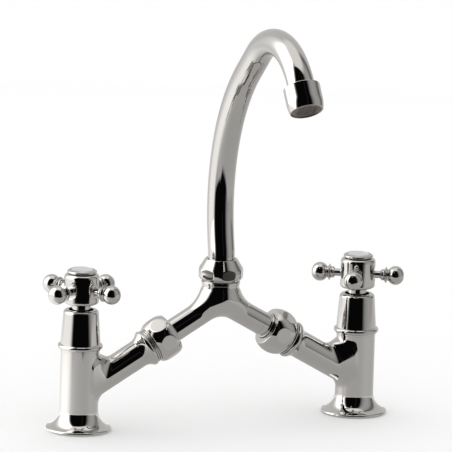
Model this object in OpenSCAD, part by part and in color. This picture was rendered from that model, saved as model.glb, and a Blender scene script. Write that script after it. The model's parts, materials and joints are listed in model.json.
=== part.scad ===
// Bridge basin mixer: two pillars with cross handles, a bridge shaped like an inverted V and a swan neck.
// Millimetres. The deck's upper face is z = 0, the bridge runs along X and the spout points to -Y.

/* [Layout] */
// Distance between the two pillars, centre to centre
centres = 200; // [170:1:230]
// Slope of the bridge's arms above the horizontal, in degrees
slope = 30; // [27:0.5:32]
// Height on a pillar's axis where the axis of its arm begins
arm_from_h = 25.5; // [25:0.1:26.5]
// Distance from the middle of the bridge to the middle of each union nut
union_at = 48; // [44:0.5:54]
// Thickness of the deck that the pillars are clamped to
deck_t = 30; // [10:1:45]
// Angle of a handle's first arm off the line between the pillars, with the water shut off
handle_rest = 30; // [0:1:60]

/* [Pillar] */
// Radius of the standing body
body_r = 13; // [12.6:0.1:13.8]
// Height of the standing body
body_h = 54.5; // [53:0.5:58]
// Radius of the flared foot
foot_r = 22.25; // [20:0.25:24]
// Radius of the hollow curve above the foot
foot_hollow_r = 12; // [10:0.25:14]
// Radius of the foot's rounded edge
foot_edge_r = 1.3; // [1:0.1:1.6]
// Radius of the slanted arm
pillar_arm_r = 9.5; // [9:0.1:9.9]
// Radius of the fillet in the corner under the arm
arm_fillet_r = 6; // [4:0.25:7]
// Radius of the fillet in the corner over the arm
arm_top_fillet_r = 5; // [4:0.25:5.25]
// Largest radius of the shoulder at the arm's end
shoulder_r = 12.7; // [12:0.1:13.2]
// Radius of the hollow curve that leads to the shoulder
shoulder_hollow_r = 8; // [6:0.25:10]
// Radius of the shoulder's rounded edge
shoulder_edge_r = 2.2; // [1.8:0.1:2.4]
// Radius of the two rings between the shoulder and the nut
arm_ring_r = 12.1; // [11.6:0.1:12.4]
// Width of each of those rings
arm_ring_w = 0.9; // [0.6:0.05:1.2]

/* [Waterways] */
// Radius of the bores through the arms and the bridge
waterway_r = 5.5; // [4.5:0.1:5.8]
// Radius of the inlet's bore below the seat
inlet_r = 5; // [4:0.1:5.2]
// Wall of the inlet's tube inside the pillar
inlet_wall = 1.6; // [1.2:0.1:1.8]
// Height of the valve's seat above the deck
seat_h = 36; // [35.5:0.1:36.5]
// Height of the floor of the chamber round the inlet's tube
chamber_h = 22; // [20:0.25:24]

/* [Valve] */
// Radius of the thread that holds the valve housing in the pillar
housing_r = 10.4; // [10.2:0.05:10.5]
// Radius of the ceramic discs
disc_r = 7.4; // [7:0.05:7.6]
// Thickness of each ceramic disc
disc_t = 3; // [2.5:0.1:3.2]
// Thickness of the seal on the seat
seat_seal_t = 2; // [1.6:0.1:2.2]
// Wall of the sleeve round the discs
sleeve_wall = 1.2; // [1:0.05:1.3]
// Radius of the spindle
spindle_r = 4.2; // [3.8:0.05:4.4]
// Width across the flats of the housing's hexagon
housing_af = 18; // [16:0.5:18.5]
// Height of the housing's hexagon
housing_hex_h = 4.5; // [3:0.25:6]
// Radius of the housing's neck round the spindle
housing_neck_r = 7; // [6:0.1:8]
// Radius of the section of the spindle's O-ring
spindle_ring_r = 0.5; // [0.4:0.05:0.6]

/* [Bell] */
// Height of the bell cover
bell_h = 28; // [26:0.5:30]
// Radius of the bell's lower edge beyond the pillar's body
bell_step = 0.4; // [0.2:0.05:0.8]
// Radius of the bead round the bell
bead_r = 1.75; // [1.4:0.05:2]
// Height of the middle of the bead above the bell's lower edge
bead_at = 3.1; // [2.5:0.1:3.5]
// Radius of the bell where its shoulder begins
bell_top_r = 11.9; // [11.6:0.1:12.4]
// Radius of the bell's rounded shoulder
bell_edge_r = 2.3; // [1.5:0.1:2.8]
// Radius of the hole in the bell's top
bell_mouth_r = 8.4; // [7.4:0.1:8.8]
// Wall of the bell
bell_wall = 1.7; // [1.2:0.1:1.8]
// Radius of the thread that holds the bell on the housing
bell_thread_r = 10.9; // [10.8:0.05:11.1]
// Height of that thread
bell_thread_h = 3; // [2:0.25:3.5]

/* [Handle] */
// Height of the gap between the bell and the hub
hub_lift = 4; // [2.5:0.25:6]
// Radius of the hub
hub_r = 11.75; // [11.25:0.05:12.5]
// Height of the hub
hub_h = 20.5; // [19.5:0.25:22]
// Radius of the hub's upper edge
hub_top_edge_r = 2.5; // [1.5:0.1:2.6]
// Radius of the hub's lower edge
hub_low_edge_r = 2; // [1:0.1:3]
// Radius of the hub's skirt, which goes down into the bell
skirt_r = 6.4; // [5.8:0.1:7]
// Height of the handle arms' axis above the hub's lower face
arms_h = 9.5; // [9.2:0.1:10]
// Height of the spindle's socket above the hub's lower face
hub_socket_h = 9.5; // [8:0.25:10]
// Thickness of the hub's web above the spindle
web_t = 4; // [3.5:0.1:4.5]
// Distance from the hub's axis to the flat pads at the roots of the arms
pad_at = 11; // [10.8:0.05:11.2]
// Radius of those flat pads
pad_r = 4.9; // [3.6:0.1:5]
// Radius of an arm's rod
rod_r = 2.5; // [2.3:0.05:2.9]
// Radius of the tenon that holds an arm in the hub
tenon_r = 2.1; // [1.8:0.05:2.2]
// Length of that tenon
tenon_len = 4.8; // [3:0.1:5]
// Distance from the hub's axis to the small bead on the rod
small_bead_at = 16.5; // [16:0.1:17]
// Radius of the rod at the small bead
small_bead_r = 3.5; // [3.1:0.05:3.7]
// Distance from the hub's axis to the crest of the arm's ring
ring_at = 19.2; // [19:0.1:19.5]
// Radius of the arm's ring at its crest
ring_r = 5.5; // [5:0.05:5.8]
// Radius of the arm's neck behind the ball
arm_neck_r = 3.8; // [3.4:0.05:4]
// Radius of the hollow curves on both sides of the ring
ring_hollow_r = 1.65; // [1.4:0.05:1.8]
// Distance from the hub's axis to the middle of the ball
ball_at = 25.7; // [25:0.1:26.5]
// Radius of the ball, which is a little flattened along the arm
ball_r = 6.4; // [5.9:0.05:6.8]
// Half the length of the ball along the arm
ball_half = 5.6; // [5.2:0.05:5.8]

/* [Index button] */
// Radius of the button's rim
rim_r = 10; // [9.4:0.05:10.8]
// Thickness of the rim's edge
rim_t = 1.8; // [1.4:0.1:2.2]
// Height of the slope from the rim's edge up to the enamelled disc
rim_slope_h = 0.6; // [0.3:0.05:0.9]
// Height of the dark joint between the hub and the rim
rim_lift = 0.4; // [0.2:0.05:0.8]
// Radius of the plug that holds the button in the hub
plug_r = 8.5; // [8.2:0.05:8.8]
// Depth of that plug in the hub
plug_h = 3.8; // [2.5:0.1:4]
// Radius of the enamelled disc
index_r = 7.5; // [6.8:0.05:7.8]
// Thickness of the enamelled disc at its edge
index_t = 1.4; // [1:0.1:1.6]
// Rise of the enamelled disc's dome
index_dome = 0.6; // [0.3:0.05:1]

/* [Screw] */
// Radius of the handle screw's thread
screw_r = 2.45; // [2:0.05:2.6]
// Length of the handle screw below its head
screw_len = 14; // [9:0.5:18]
// Radius of the handle screw's head
screw_head_r = 4.4; // [3.8:0.1:5]
// Height of the handle screw's head
screw_head_h = 2.6; // [2:0.1:2.8]

/* [Union] */
// Length of the union nut
union_len = 16; // [15:0.25:18]
// Radius of the union nut's bulge, which is part of a sphere
union_bulge_r = 15.25; // [14.9:0.05:15.6]
// Width across the flats of the union nut
union_af = 28.4; // [27.5:0.1:29.5]
// Radius of the union's thread
union_thread_r = 10.4; // [10.2:0.05:10.8]
// Thickness of the lip that draws the bridge's flange up
union_lip_t = 3; // [2.5:0.1:3.5]
// Radius of the bridge's sleeve inside the lip
union_sleeve_r = 8.9; // [8.6:0.05:9.1]
// Clearance round that sleeve
union_sleeve_gap = 0.4; // [0.2:0.05:0.5]
// Thickness of the flange at the end of the bridge's arm
flange_t = 2.4; // [2:0.1:3]
// Thickness of the union's washer
washer_t = 1.6; // [1.2:0.1:2]

/* [Bridge] */
// Radius of the bridge's arms
arm_r = 8; // [7.5:0.05:8.3]
// Radius of the bridge's neck under the spout's nut
neck_r = 13; // [12.8:0.1:13.4]
// Height of the neck's shoulder above the point where the arms' axes meet
neck_h = 13.4; // [12.9:0.1:14]
// Height of the collar round the neck's upper end
neck_collar_h = 2; // [1:0.1:2.5]
// Depth of the groove below that collar
neck_groove = 0.5; // [0.2:0.05:0.8]
// Radius of the ball in which the arms meet
heart_r = 12.4; // [11.8:0.05:12.4]
// Height of that ball's middle above the point where the arms' axes meet
heart_lift = 2; // [1.5:0.1:2.5]
// Radius of the arch under the bridge
arch_r = 14; // [8:0.5:20]
// Radius of the hollow curves between the neck and the arms
neck_blend_r = 14.5; // [10:0.25:15]
// Radius of the thread on the bridge's neck
neck_thread_r = 11.9; // [11.6:0.05:12.1]
// Height of that thread
neck_thread_h = 6.5; // [5.5:0.25:7]

/* [Spout] */
// Radius of the spout's tube
tube_r = 9; // [8.6:0.05:9.2]
// Wall of the spout's tube
tube_wall = 1.3; // [1:0.1:1.5]
// Height of the tube's first bend above the nut
kick_lift = 0.5; // [0.5:0.25:4]
// Radius of the first, backward bend
kick_r = 35; // [30:1:60]
// Angle of the first, backward bend
kick_angle = 13; // [8:0.5:15]
// Radius of the long forward bend
sweep_r = 131; // [110:1:145]
// Heading of the tube at the end of the long bend, above the horizontal
sweep_to = 42.5; // [34:0.5:46]
// Length of the straight stretch between the bends
straight_len = 22.5; // [5:0.5:40]
// Radius of the bend at the top
crook_r = 49.5; // [40:0.5:54]
// Angle of the outlet off straight down
outlet_lean = 35.5; // [20:0.5:42]
// Length of the tube between the last bend and the outlet's face
outlet_len = 18.5; // [18:0.25:22]
// Radius of the spout's foot in the neck
nipple_r = 8.95; // [8.7:0.05:9]
// Length of the spout's foot below its flange
nipple_len = 19; // [17.5:0.25:19.25]
// Radius of the flange on the spout's foot
foot_flange_r = 10.8; // [10.5:0.05:11.2]
// Thickness of that flange
foot_flange_t = 3; // [2.5:0.1:3.2]
// Length of the foot's spigot inside the tube
spigot_len = 6; // [4:0.25:6.25]
// Width of each O-ring groove in the spout's foot
ring_groove_w = 2.2; // [2:0.1:2.6]
// Depth of each O-ring groove
ring_groove_d = 1.4; // [1.2:0.05:1.6]
// Distance of the upper O-ring below the flange
upper_ring_at = 5; // [4:0.25:6]
// Distance between the two O-rings
ring_pitch = 7; // [5:0.25:8]
// Thickness of the ring on which the spout glides
glide_t = 1; // [0.8:0.05:1.3]

/* [Spout nut] */
// Height of the spout's nut
nut_h = 14.8; // [14.4:0.1:16.5]
// Radius of the nut where it is widest
nut_wide_r = 15.4; // [15:0.05:15.8]
// Height of the widest place above the nut's lower face
nut_wide_at = 5.2; // [4.8:0.1:6]
// Radius of the nut's lower face
nut_low_r = 12.7; // [12.3:0.1:13.5]
// Radius of the nut's upper face
nut_top_r = 10.8; // [10.4:0.1:11.5]
// Slope of the nut's upper cone off the vertical
nut_cone = 32; // [28:1:34]
// Width across the flats of the nut
nut_af = 28.9; // [28.2:0.1:29.8]
// Height of the dark joint between the neck's shoulder and the nut
nut_joint = 0.4; // [0.2:0.05:0.6]
// Clearance between the nut and the tube
nut_mouth_gap = 0.3; // [0.2:0.05:0.6]

/* [Aerator] */
// Radius of the aerator's housing
aerator_r = 12.2; // [11.6:0.05:12.6]
// Length of the housing
aerator_len = 17.5; // [16.5:0.25:18.25]
// Radius of the housing at the outlet
aerator_end_r = 11; // [10.8:0.05:11.4]
// Radius of the housing's upper edge
aerator_edge_r = 0.5; // [0.3:0.05:0.8]
// Length of the curved taper towards the outlet
aerator_taper_len = 7; // [5:0.25:9]
// Length of the tube inside the housing
aerator_thread_len = 8.5; // [7:0.25:9]
// Thickness of the aerator's washer
aerator_washer_t = 1.5; // [1.2:0.1:2]
// Radius of the flow insert, which is pressed in from below
insert_r = 9.9; // [9.5:0.05:10.1]
// Depth of the mesh inside the outlet
mesh_recess = 0.5; // [0.3:0.05:1]
// Thickness of the mesh
mesh_t = 0.6; // [0.4:0.05:0.8]
// Distance between the mesh's wires
mesh_pitch = 1.9; // [1.7:0.1:2.4]
// Width of the mesh's wires
mesh_wire = 0.6; // [0.4:0.05:0.8]
// Number of jets in the flow insert's ring
jets = 12; // [8:1:14]

/* [Under the deck] */
// Radius of the inlet tail's thread
tail_r = 10.48; // [10.3:0.02:10.6]
// Radius of the inlet tail's bore
tail_bore_r = 6.5; // [5:0.25:7.5]
// Depth of the tail's socket in the pillar
socket_h = 14; // [10:0.5:16]
// Length of the free end that the supply is screwed on
free_len = 14; // [12:0.5:18]
// Width of the groove above the free end
relief_w = 1.5; // [1:0.1:2]
// Depth of that groove
relief_d = 0.9; // [0.6:0.1:1.2]
// Outer radius of the washers under the deck
deck_washer_r = 17; // [15.5:0.5:20]
// Thickness of the rubber washer under the deck
rubber_t = 2; // [1.5:0.25:3]
// Thickness of the steel washer under the deck
steel_t = 1.5; // [1:0.25:2.5]
// Width across the flats of the back nut
back_nut_af = 27; // [25:0.5:30]
// Thickness of the back nut
back_nut_t = 7; // [5:0.5:9]
// Inner radius of the seal in the foot
foot_seal_in_r = 14; // [12.5:0.25:15]
// Outer radius of the seal in the foot
foot_seal_out_r = 18; // [17:0.25:18.3]
// Thickness of the seal in the foot
foot_seal_t = 1.6; // [1.2:0.1:2]

/* [Fits] */
// Radial clearance of threads, which are drawn as plain cylinders
thread_gap = 0.05; // [0.03:0.01:0.1]
// Radial clearance of turning and sliding fits
run_gap = 0.05; // [0.02:0.01:0.08]
// Film between faces that turn on each other
film = 0.02; // [0.01:0.01:0.05]
// Depth to which a blend's tube is sunk in the pieces that it joins
blend_sink = 0.2; // [0.15:0.05:0.3]

/* [Hidden] */
$fn = 96;
left = -1;
right = 1;
over = 1;

// Along the arm's axis, counted from the pillar's axis
arm_len = centres / 2 / cos(slope);
bridge_h = arm_from_h + centres / 2 * tan(slope);
union_t = arm_len - union_at;
nut_from_t = union_t - union_len / 2;
nut_to_t = union_t + union_len / 2;
lip_t = nut_to_t - union_lip_t;
flange_from_t = lip_t - flange_t;
pillar_arm_end_t = flange_from_t - washer_t;
arm_ring_gap = 0.5;
rings_from_t = nut_from_t - 2 * (arm_ring_w + arm_ring_gap);
shoulder_t = rings_from_t - 0.7 * shoulder_edge_r;
sleeve_out = 1.2;
arm_bore_from = 12;

// Up the pillar's axis
disc_from_h = seat_h + seat_seal_t;
moving_from_h = disc_from_h + disc_t + film;
dog_from_h = moving_from_h + disc_t;
dog_t = 2;
sleeve_from_h = seat_h + 0.5;
sleeve_to_h = dog_from_h + dog_t + film;
dog_r = disc_r - 0.2;
tongue_w = 3;
tongue_len = 8;
tongue_h = 1.1;
sleeve_r = disc_r + run_gap + sleeve_wall;
bell_inside_r = bell_thread_r + thread_gap;
hex_from_h = body_h + bell_thread_h;
hex_to_h = hex_from_h + housing_hex_h;
bell_to_h = body_h + bell_h;
hub_from_h = bell_to_h + hub_lift;
skirt_from_h = bell_to_h - 4.5;
housing_to_h = skirt_from_h - 0.5;
arms_at_h = hub_from_h + arms_h;
spindle_to_h = hub_from_h + hub_socket_h;
web_to_h = spindle_to_h + web_t;
hub_to_h = hub_from_h + hub_h;
screw_tip_room = 1;
spindle_ring_at_h = housing_to_h - 6;
spindle_groove_r = spindle_r + run_gap - 2 * spindle_ring_r - film;
tenon_from = pad_at - tenon_len;
port_in_r = 1.8;
port_out_r = inlet_r;
port_angle = 80;

// Button
rim_from_h = hub_to_h + rim_lift;
index_from_h = rim_from_h + rim_t + rim_slope_h - index_t;
plug_wall = 1.3;

// Neck, nut and spout
neck_top_h = bridge_h + neck_h;
neck_end_h = neck_top_h + neck_thread_h;
neck_bore_r = nipple_r + run_gap;
foot_flange_h = neck_end_h + film;
tube_from_h = foot_flange_h + foot_flange_t;
glide_from_h = tube_from_h + film;
glide_to_h = glide_from_h + glide_t;
nut_from_h = neck_top_h + nut_joint;
nut_to_h = nut_from_h + nut_h;
nut_mouth_r = tube_r + nut_mouth_gap;
nipple_from_h = foot_flange_h - nipple_len;
neck_bore_from_h = nipple_from_h - 0.5;
tube_in_r = tube_r - tube_wall;
ring_section_r = (ring_groove_d + run_gap - film) / 2;

// The spout's centre line, as [reach, height]
joint_step = 0.05;
joint_lap = 0.8;
kick_from_h = nut_to_h + kick_lift;
upright = 90;
straight_down = 270;
kick_centre = [-kick_r, kick_from_h];
kick_end = kick_centre + kick_r * heading(kick_angle);
sweep_centre = kick_end + sweep_r * heading(kick_angle);
sweep_end = sweep_centre + sweep_r * heading(sweep_to + upright);
straight_end = sweep_end + straight_len * heading(sweep_to);
crook_centre = straight_end + crook_r * heading(sweep_to - upright);
crook_end = crook_centre + crook_r * heading(outlet_lean);
aerator_from = outlet_len - aerator_len;
tube_to = aerator_from + aerator_thread_len;
aerator_bore_r = tube_r + thread_gap;
insert_from = tube_to + aerator_washer_t;
mesh_from = outlet_len - mesh_recess - mesh_t;

// Below the deck
rubber_to_h = -deck_t - rubber_t;
steel_to_h = rubber_to_h - steel_t;
back_nut_to_h = steel_to_h - back_nut_t;
relief_from_h = back_nut_to_h - 0.5;
free_from_h = relief_from_h - relief_w;
tail_to_h = free_from_h - free_len;
tail_chamfer = 0.8;
washer_in_r = tail_r + 0.2;

chrome = "silver";
bright_brass = "goldenrod";
black_rubber = "dimgray";
white_enamel = "ivory";
pale_ceramic = "seashell";
plain_steel = "lightsteelblue";
grey_plastic = "gainsboro";
red_fibre = "sienna";
mesh_steel = "rosybrown";

// Unit vector at an angle above the horizontal
function heading(a) = [cos(a), sin(a)];

// Axial length of a hollow curve that swells from r0 and ends tangent to a rounded edge of radius r1
function flare_len(r0, r1, hollow_r, edge_r) =
    sqrt(pow(hollow_r + edge_r, 2) - pow(r0 + hollow_r - r1 + edge_r, 2));

// Outline of the swelling of a round bar from r0 to r1; the middle of its rounded edge is at height 0
module flare_outline(r0, r1, hollow_r, edge_r) {
    len = flare_len(r0, r1, hollow_r, edge_r);
    part = edge_r / (hollow_r + edge_r);
    edge_mid = r1 - edge_r;
    touch_r = edge_mid + part * (r0 + hollow_r - edge_mid);
    difference() {
        square([touch_r, len]);
        translate([r0 + hollow_r, len]) circle(hollow_r);
    }
    translate([edge_mid, 0]) circle(edge_r);
}

// Outline of a round bar of radius r with rounded lower and upper outer edges
module bar_outline(r, h, low_r, high_r) {
    translate([0, low_r]) square([r, h - low_r - high_r]);
    if (low_r > 0) {
        square([r - low_r, low_r]);
        intersection() {
            translate([r - low_r, low_r]) circle(low_r);
            translate([r - low_r, 0]) square(low_r);
        }
    }
    if (high_r > 0) {
        translate([0, h - high_r]) square([r - high_r, high_r]);
        intersection() {
            translate([r - high_r, h - high_r]) circle(high_r);
            translate([r - high_r, h - high_r]) square(high_r);
        }
    }
}

// Round bar from height low to height high
module bar(r, low, high) {
    translate([0, 0, low]) cylinder(r = r, h = high - low);
}

// Ring from height low to height high
module ring(in_r, out_r, low, high) {
    difference() {
        bar(out_r, low, high);
        bar(in_r, low - over, high + over);
    }
}

// O-ring of section radius r whose inner radius is in_r, at height h
module oring(in_r, r, h) {
    translate([0, 0, h]) rotate_extrude() translate([in_r + r, 0]) circle(r);
}

// Hexagonal bar with a flat to the front
module hexagon(across, low, high) {
    translate([0, 0, low]) cylinder(r = across / 2 / cos(30), h = high - low, $fn = 6);
}

// Puts a piece drawn for the left pillar's axis on either side, with +X towards the bridge
module on_side(side) {
    translate([side * centres / 2, 0, 0])
    if (side == right) mirror([1, 0, 0]) children();
    else children();
}

// Stands a piece on the arm's axis at distance t from the pillar's axis
module along_arm(t) {
    translate([0, 0, arm_from_h]) rotate([0, 90 - slope, 0]) translate([0, 0, t]) children();
}

// Part of a ring of tube radius r about a centre in the XZ plane
module bend(centre, bend_r, from, to, r) {
    translate([centre[0], 0, centre[1]]) rotate([90, 0, 0]) rotate([0, 0, from])
    rotate_extrude(angle = to - from) translate([bend_r, 0]) circle(r);
}

// Turns the spout's own frame, where X is the reach, to the front
module to_front() {
    rotate([0, 0, -90]) children();
}

// Stands a piece on the spout's last stretch, at a distance from the end of the top bend
module at_outlet(distance) {
    to_front() along_heading(crook_end, outlet_lean - 90) translate([0, 0, distance]) children();
}

// Outline of the pillar's foot and standing body
module pillar_outline() {
    square([foot_r - foot_edge_r, foot_edge_r]);
    translate([0, foot_edge_r]) flare_outline(body_r, foot_r, foot_hollow_r, foot_edge_r);
    square([body_r, body_h]);
}

// Outline of the pillar's arm from the shoulder to its end, counted along the arm
module arm_end_outline() {
    translate([0, shoulder_t]) mirror([0, 1])
        flare_outline(pillar_arm_r, shoulder_r, shoulder_hollow_r, shoulder_edge_r);
    square([pillar_arm_r, pillar_arm_end_t]);
    translate([0, shoulder_t]) square([union_thread_r, pillar_arm_end_t - shoulder_t]);
    for (i = [0, 1]) {
        translate([0, rings_from_t + arm_ring_gap + i * (arm_ring_w + arm_ring_gap)])
            bar_outline(arm_ring_r, arm_ring_w, arm_ring_w / 2.5, arm_ring_w / 2.5);
    }
}

// Tube that fills the corner under the arm with a hollow curve
module low_fillet() {
    r = pillar_arm_r - blend_sink;
    bend_r = arm_fillet_r + r;
    x = body_r - blend_sink + arm_fillet_r;
    z = arm_from_h + x * tan(slope) - bend_r / cos(slope);
    bend([x, z], bend_r, 90 + slope, 180, r);
}

// Tube that fills the corner over the arm with a hollow curve
module top_fillet() {
    r = pillar_arm_r - 2 * blend_sink;
    bend_r = arm_top_fillet_r + r;
    x = body_r - blend_sink + arm_top_fillet_r;
    z = arm_from_h + x * tan(slope) + bend_r / cos(slope);
    bend([x, z], bend_r, 180, 270 + slope, r);
}

module pillar_body(side) color(chrome) on_side(side) {
    difference() {
        union() {
            rotate_extrude() pillar_outline();
            along_arm(0) rotate_extrude() arm_end_outline();
            low_fillet();
            top_fillet();
        }
        bar(tail_r + thread_gap, -over, socket_h);
        bar(inlet_r, socket_h - over, seat_h + over);
        ring(inlet_r + inlet_wall, housing_r + thread_gap, chamber_h, seat_h);
        bar(housing_r + thread_gap, seat_h, body_h + over);
        ring(foot_seal_in_r - run_gap, foot_seal_out_r + run_gap, -over, foot_seal_t);
        along_arm(arm_bore_from) cylinder(r = waterway_r, h = pillar_arm_end_t - arm_bore_from + over);
    }
}

module foot_seal(side) color(black_rubber) on_side(side)
    ring(foot_seal_in_r, foot_seal_out_r, 0, foot_seal_t);

module inlet_tail(side) color(bright_brass) on_side(side) {
    difference() {
        union() {
            bar(tail_r, relief_from_h, socket_h);
            bar(tail_r - relief_d, free_from_h, relief_from_h);
            bar(tail_r, tail_to_h + tail_chamfer, free_from_h);
            translate([0, 0, tail_to_h])
                cylinder(r1 = tail_r - tail_chamfer, r2 = tail_r, h = tail_chamfer);
        }
        bar(tail_bore_r, tail_to_h - over, socket_h + over);
    }
}

module deck_rubber_washer(side) color(black_rubber) on_side(side)
    ring(washer_in_r, deck_washer_r, rubber_to_h, -deck_t);

module deck_steel_washer(side) color(plain_steel) on_side(side)
    ring(washer_in_r, deck_washer_r, steel_to_h, rubber_to_h);

module back_nut(side) color(bright_brass) on_side(side) {
    difference() {
        hexagon(back_nut_af, back_nut_to_h, steel_to_h);
        bar(tail_r + thread_gap, back_nut_to_h - over, steel_to_h + over);
    }
}

// A sphere cut to the nut's length and flattened on six sides
module union_nut(side) color(chrome) on_side(side) along_arm(union_t) {
    half = union_len / 2;
    difference() {
        intersection() {
            sphere(union_bulge_r);
            hexagon(union_af, -half, half);
        }
        bar(union_thread_r + thread_gap, -half - over, half - union_lip_t);
        bar(union_sleeve_r + union_sleeve_gap, -half, half + over);
    }
}

module union_washer(side) color(red_fibre) on_side(side) along_arm(pillar_arm_end_t)
    ring(waterway_r, union_thread_r - thread_gap, 0, washer_t);

// Housing with the sleeve round the discs, the threads, the hexagon and the neck
module valve_housing(side) color(bright_brass) on_side(side) {
    window_h = disc_t + 0.4;
    window_w = 8;
    difference() {
        union() {
            bar(sleeve_r, sleeve_from_h, sleeve_to_h);
            bar(housing_r, sleeve_to_h, body_h);
            bar(bell_thread_r, body_h, hex_from_h);
            hexagon(housing_af, hex_from_h, hex_to_h);
            bar(housing_neck_r, hex_to_h, housing_to_h);
        }
        bar(disc_r + run_gap, sleeve_from_h - over, sleeve_to_h);
        bar(spindle_r + run_gap, sleeve_from_h, housing_to_h + over);
        translate([-window_w / 2, -housing_r, moving_from_h]) cube([window_w, 2 * housing_r, window_h]);
    }
}

module seat_seal(side) color(black_rubber) on_side(side)
    ring(inlet_r, disc_r - run_gap, seat_h, disc_from_h);

// Two openings, a quarter turn apart from the solid parts between them
module disc_ports(low, high, turn) {
    for (a = [0, 180]) {
        translate([0, 0, low]) rotate([0, 0, a + turn - port_angle / 2])
        rotate_extrude(angle = port_angle) translate([port_in_r, 0])
            square([port_out_r - port_in_r, high - low]);
    }
}

module fixed_disc(side) color(pale_ceramic) on_side(side) {
    difference() {
        bar(disc_r, disc_from_h, disc_from_h + disc_t);
        disc_ports(disc_from_h - over, disc_from_h + disc_t + over, 0);
    }
}

module moving_disc(side) color(pale_ceramic) on_side(side) {
    difference() {
        bar(disc_r - run_gap, moving_from_h, dog_from_h);
        disc_ports(moving_from_h - over, dog_from_h + over, 90);
        translate([0, 0, dog_from_h - tongue_h - film])
            linear_extrude(tongue_h + over) square([tongue_len + 2 * run_gap, tongue_w + 2 * run_gap], center = true);
    }
}

// Spindle with its dog, whose tongue turns the moving disc
module spindle(side) color(bright_brass) on_side(side) {
    difference() {
        union() {
            bar(dog_r, dog_from_h, dog_from_h + dog_t);
            bar(spindle_r, dog_from_h, spindle_to_h);
            translate([0, 0, dog_from_h - tongue_h])
                linear_extrude(tongue_h + film) square([tongue_len, tongue_w], center = true);
        }
        ring(spindle_groove_r, spindle_r + over, spindle_ring_at_h - spindle_ring_r - film,
            spindle_ring_at_h + spindle_ring_r + film);
        bar(screw_r + thread_gap, web_to_h - screw_len - screw_tip_room, spindle_to_h + over);
    }
}

module spindle_oring(side) color(black_rubber) on_side(side)
    oring(spindle_groove_r, spindle_ring_r, spindle_ring_at_h);

// Outline of the bell: lower edge, bead, taper and rounded shoulder
module bell_outline() {
    low_r = body_r + bell_step;
    mid_h = bell_h - bell_edge_r;
    taper = atan((low_r - bell_top_r) / (mid_h - bead_at));
    edge_mid = bell_top_r - bell_edge_r / cos(taper);
    square([low_r, bead_at]);
    translate([low_r, bead_at]) circle(bead_r);
    polygon([[0, bead_at], [low_r, bead_at], [edge_mid + bell_edge_r * cos(taper), mid_h + bell_edge_r * sin(taper)],
        [edge_mid, mid_h], [0, mid_h]]);
    translate([0, mid_h]) square([edge_mid, bell_edge_r]);
    intersection() {
        translate([edge_mid, mid_h]) circle(bell_edge_r);
        translate([edge_mid, mid_h]) square(2 * bell_edge_r);
    }
}

module bell_cover(side) color(chrome) on_side(side) {
    inside_top_h = bell_h - bell_wall;
    difference() {
        translate([0, 0, body_h]) rotate_extrude() bell_outline();
        bar(bell_inside_r, body_h - over, hex_to_h + run_gap);
        translate([0, 0, body_h]) rotate_extrude()
            polygon([[0, hex_to_h - body_h], [bell_inside_r, hex_to_h - body_h],
                [bell_top_r - bell_wall, inside_top_h - bell_wall], [bell_mouth_r, inside_top_h], [0, inside_top_h]]);
        bar(bell_mouth_r, hex_to_h, bell_to_h + over);
    }
}

// Hub with its skirt, the sockets of the four arms and the recess under the button
module handle_hub(side) color(chrome) on_side(side) {
    difference() {
        union() {
            translate([0, 0, hub_from_h]) rotate_extrude()
                bar_outline(hub_r, hub_h, hub_low_edge_r, hub_top_edge_r);
            bar(skirt_r, skirt_from_h, hub_from_h + over);
        }
        bar(spindle_r + run_gap, skirt_from_h - over, spindle_to_h);
        bar(screw_r + thread_gap, spindle_to_h - over, web_to_h + over);
        bar(plug_r + run_gap, web_to_h, hub_to_h + over);
        for (i = [0 : 3]) {
            on_handle(i) cylinder(r = tenon_r + run_gap, h = hub_r);
            on_handle(i) translate([0, 0, tenon_len]) cylinder(r = pad_r, h = hub_r);
        }
    }
}

// Lays a piece along one of the handle's four arms, from the inner end of its tenon
module on_handle(i) {
    translate([0, 0, arms_at_h]) rotate([0, 0, handle_rest + 90 * i]) rotate([0, 90, 0])
    translate([0, 0, tenon_from]) children();
}

// Outline of a turned handle arm, counted from the hub's axis
module handle_arm_outline() {
    crest = 0.35;
    hollow_mid = ring_r - crest + ring_hollow_r * 0.15;
    reach = ring_hollow_r;
    translate([0, tenon_from]) square([tenon_r, tenon_len + crest]);
    translate([0, pad_at]) square([rod_r, ball_at - pad_at]);
    translate([rod_r, small_bead_at]) circle(small_bead_r - rod_r);
    translate([0, small_bead_at]) square([arm_neck_r - 0.4, ball_at - small_bead_at]);
    translate([0, ring_at]) square([arm_neck_r, ball_at - ring_at]);
    difference() {
        translate([0, ring_at - reach]) square([ring_r - crest, 2 * reach]);
        translate([hollow_mid, ring_at - crest - reach]) circle(ring_hollow_r);
        translate([hollow_mid, ring_at + crest + reach]) circle(ring_hollow_r);
    }
    translate([ring_r - crest, ring_at]) circle(crest);
    translate([0, ball_at - ball_half]) square([ball_r - ball_half, 2 * ball_half]);
    translate([ball_r - ball_half, ball_at]) intersection() {
        circle(ball_half);
        translate([0, -ball_half]) square([ball_half, 2 * ball_half]);
    }
}

module handle_arm(side, i) color(chrome) on_side(side) on_handle(i) translate([0, 0, -tenon_from])
    rotate_extrude() handle_arm_outline();

// Screw that holds the hub on the spindle, with a hexagonal socket
module handle_screw(side) color(plain_steel) on_side(side) {
    key_af = 3;
    key_h = 1.6;
    head_to_h = web_to_h + screw_head_h;
    difference() {
        union() {
            bar(screw_r, web_to_h - screw_len, web_to_h);
            translate([0, 0, web_to_h]) rotate_extrude() bar_outline(screw_head_r, screw_head_h, 0.2, 0.8);
        }
        hexagon(key_af, head_to_h - key_h, head_to_h + over);
    }
}

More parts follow.
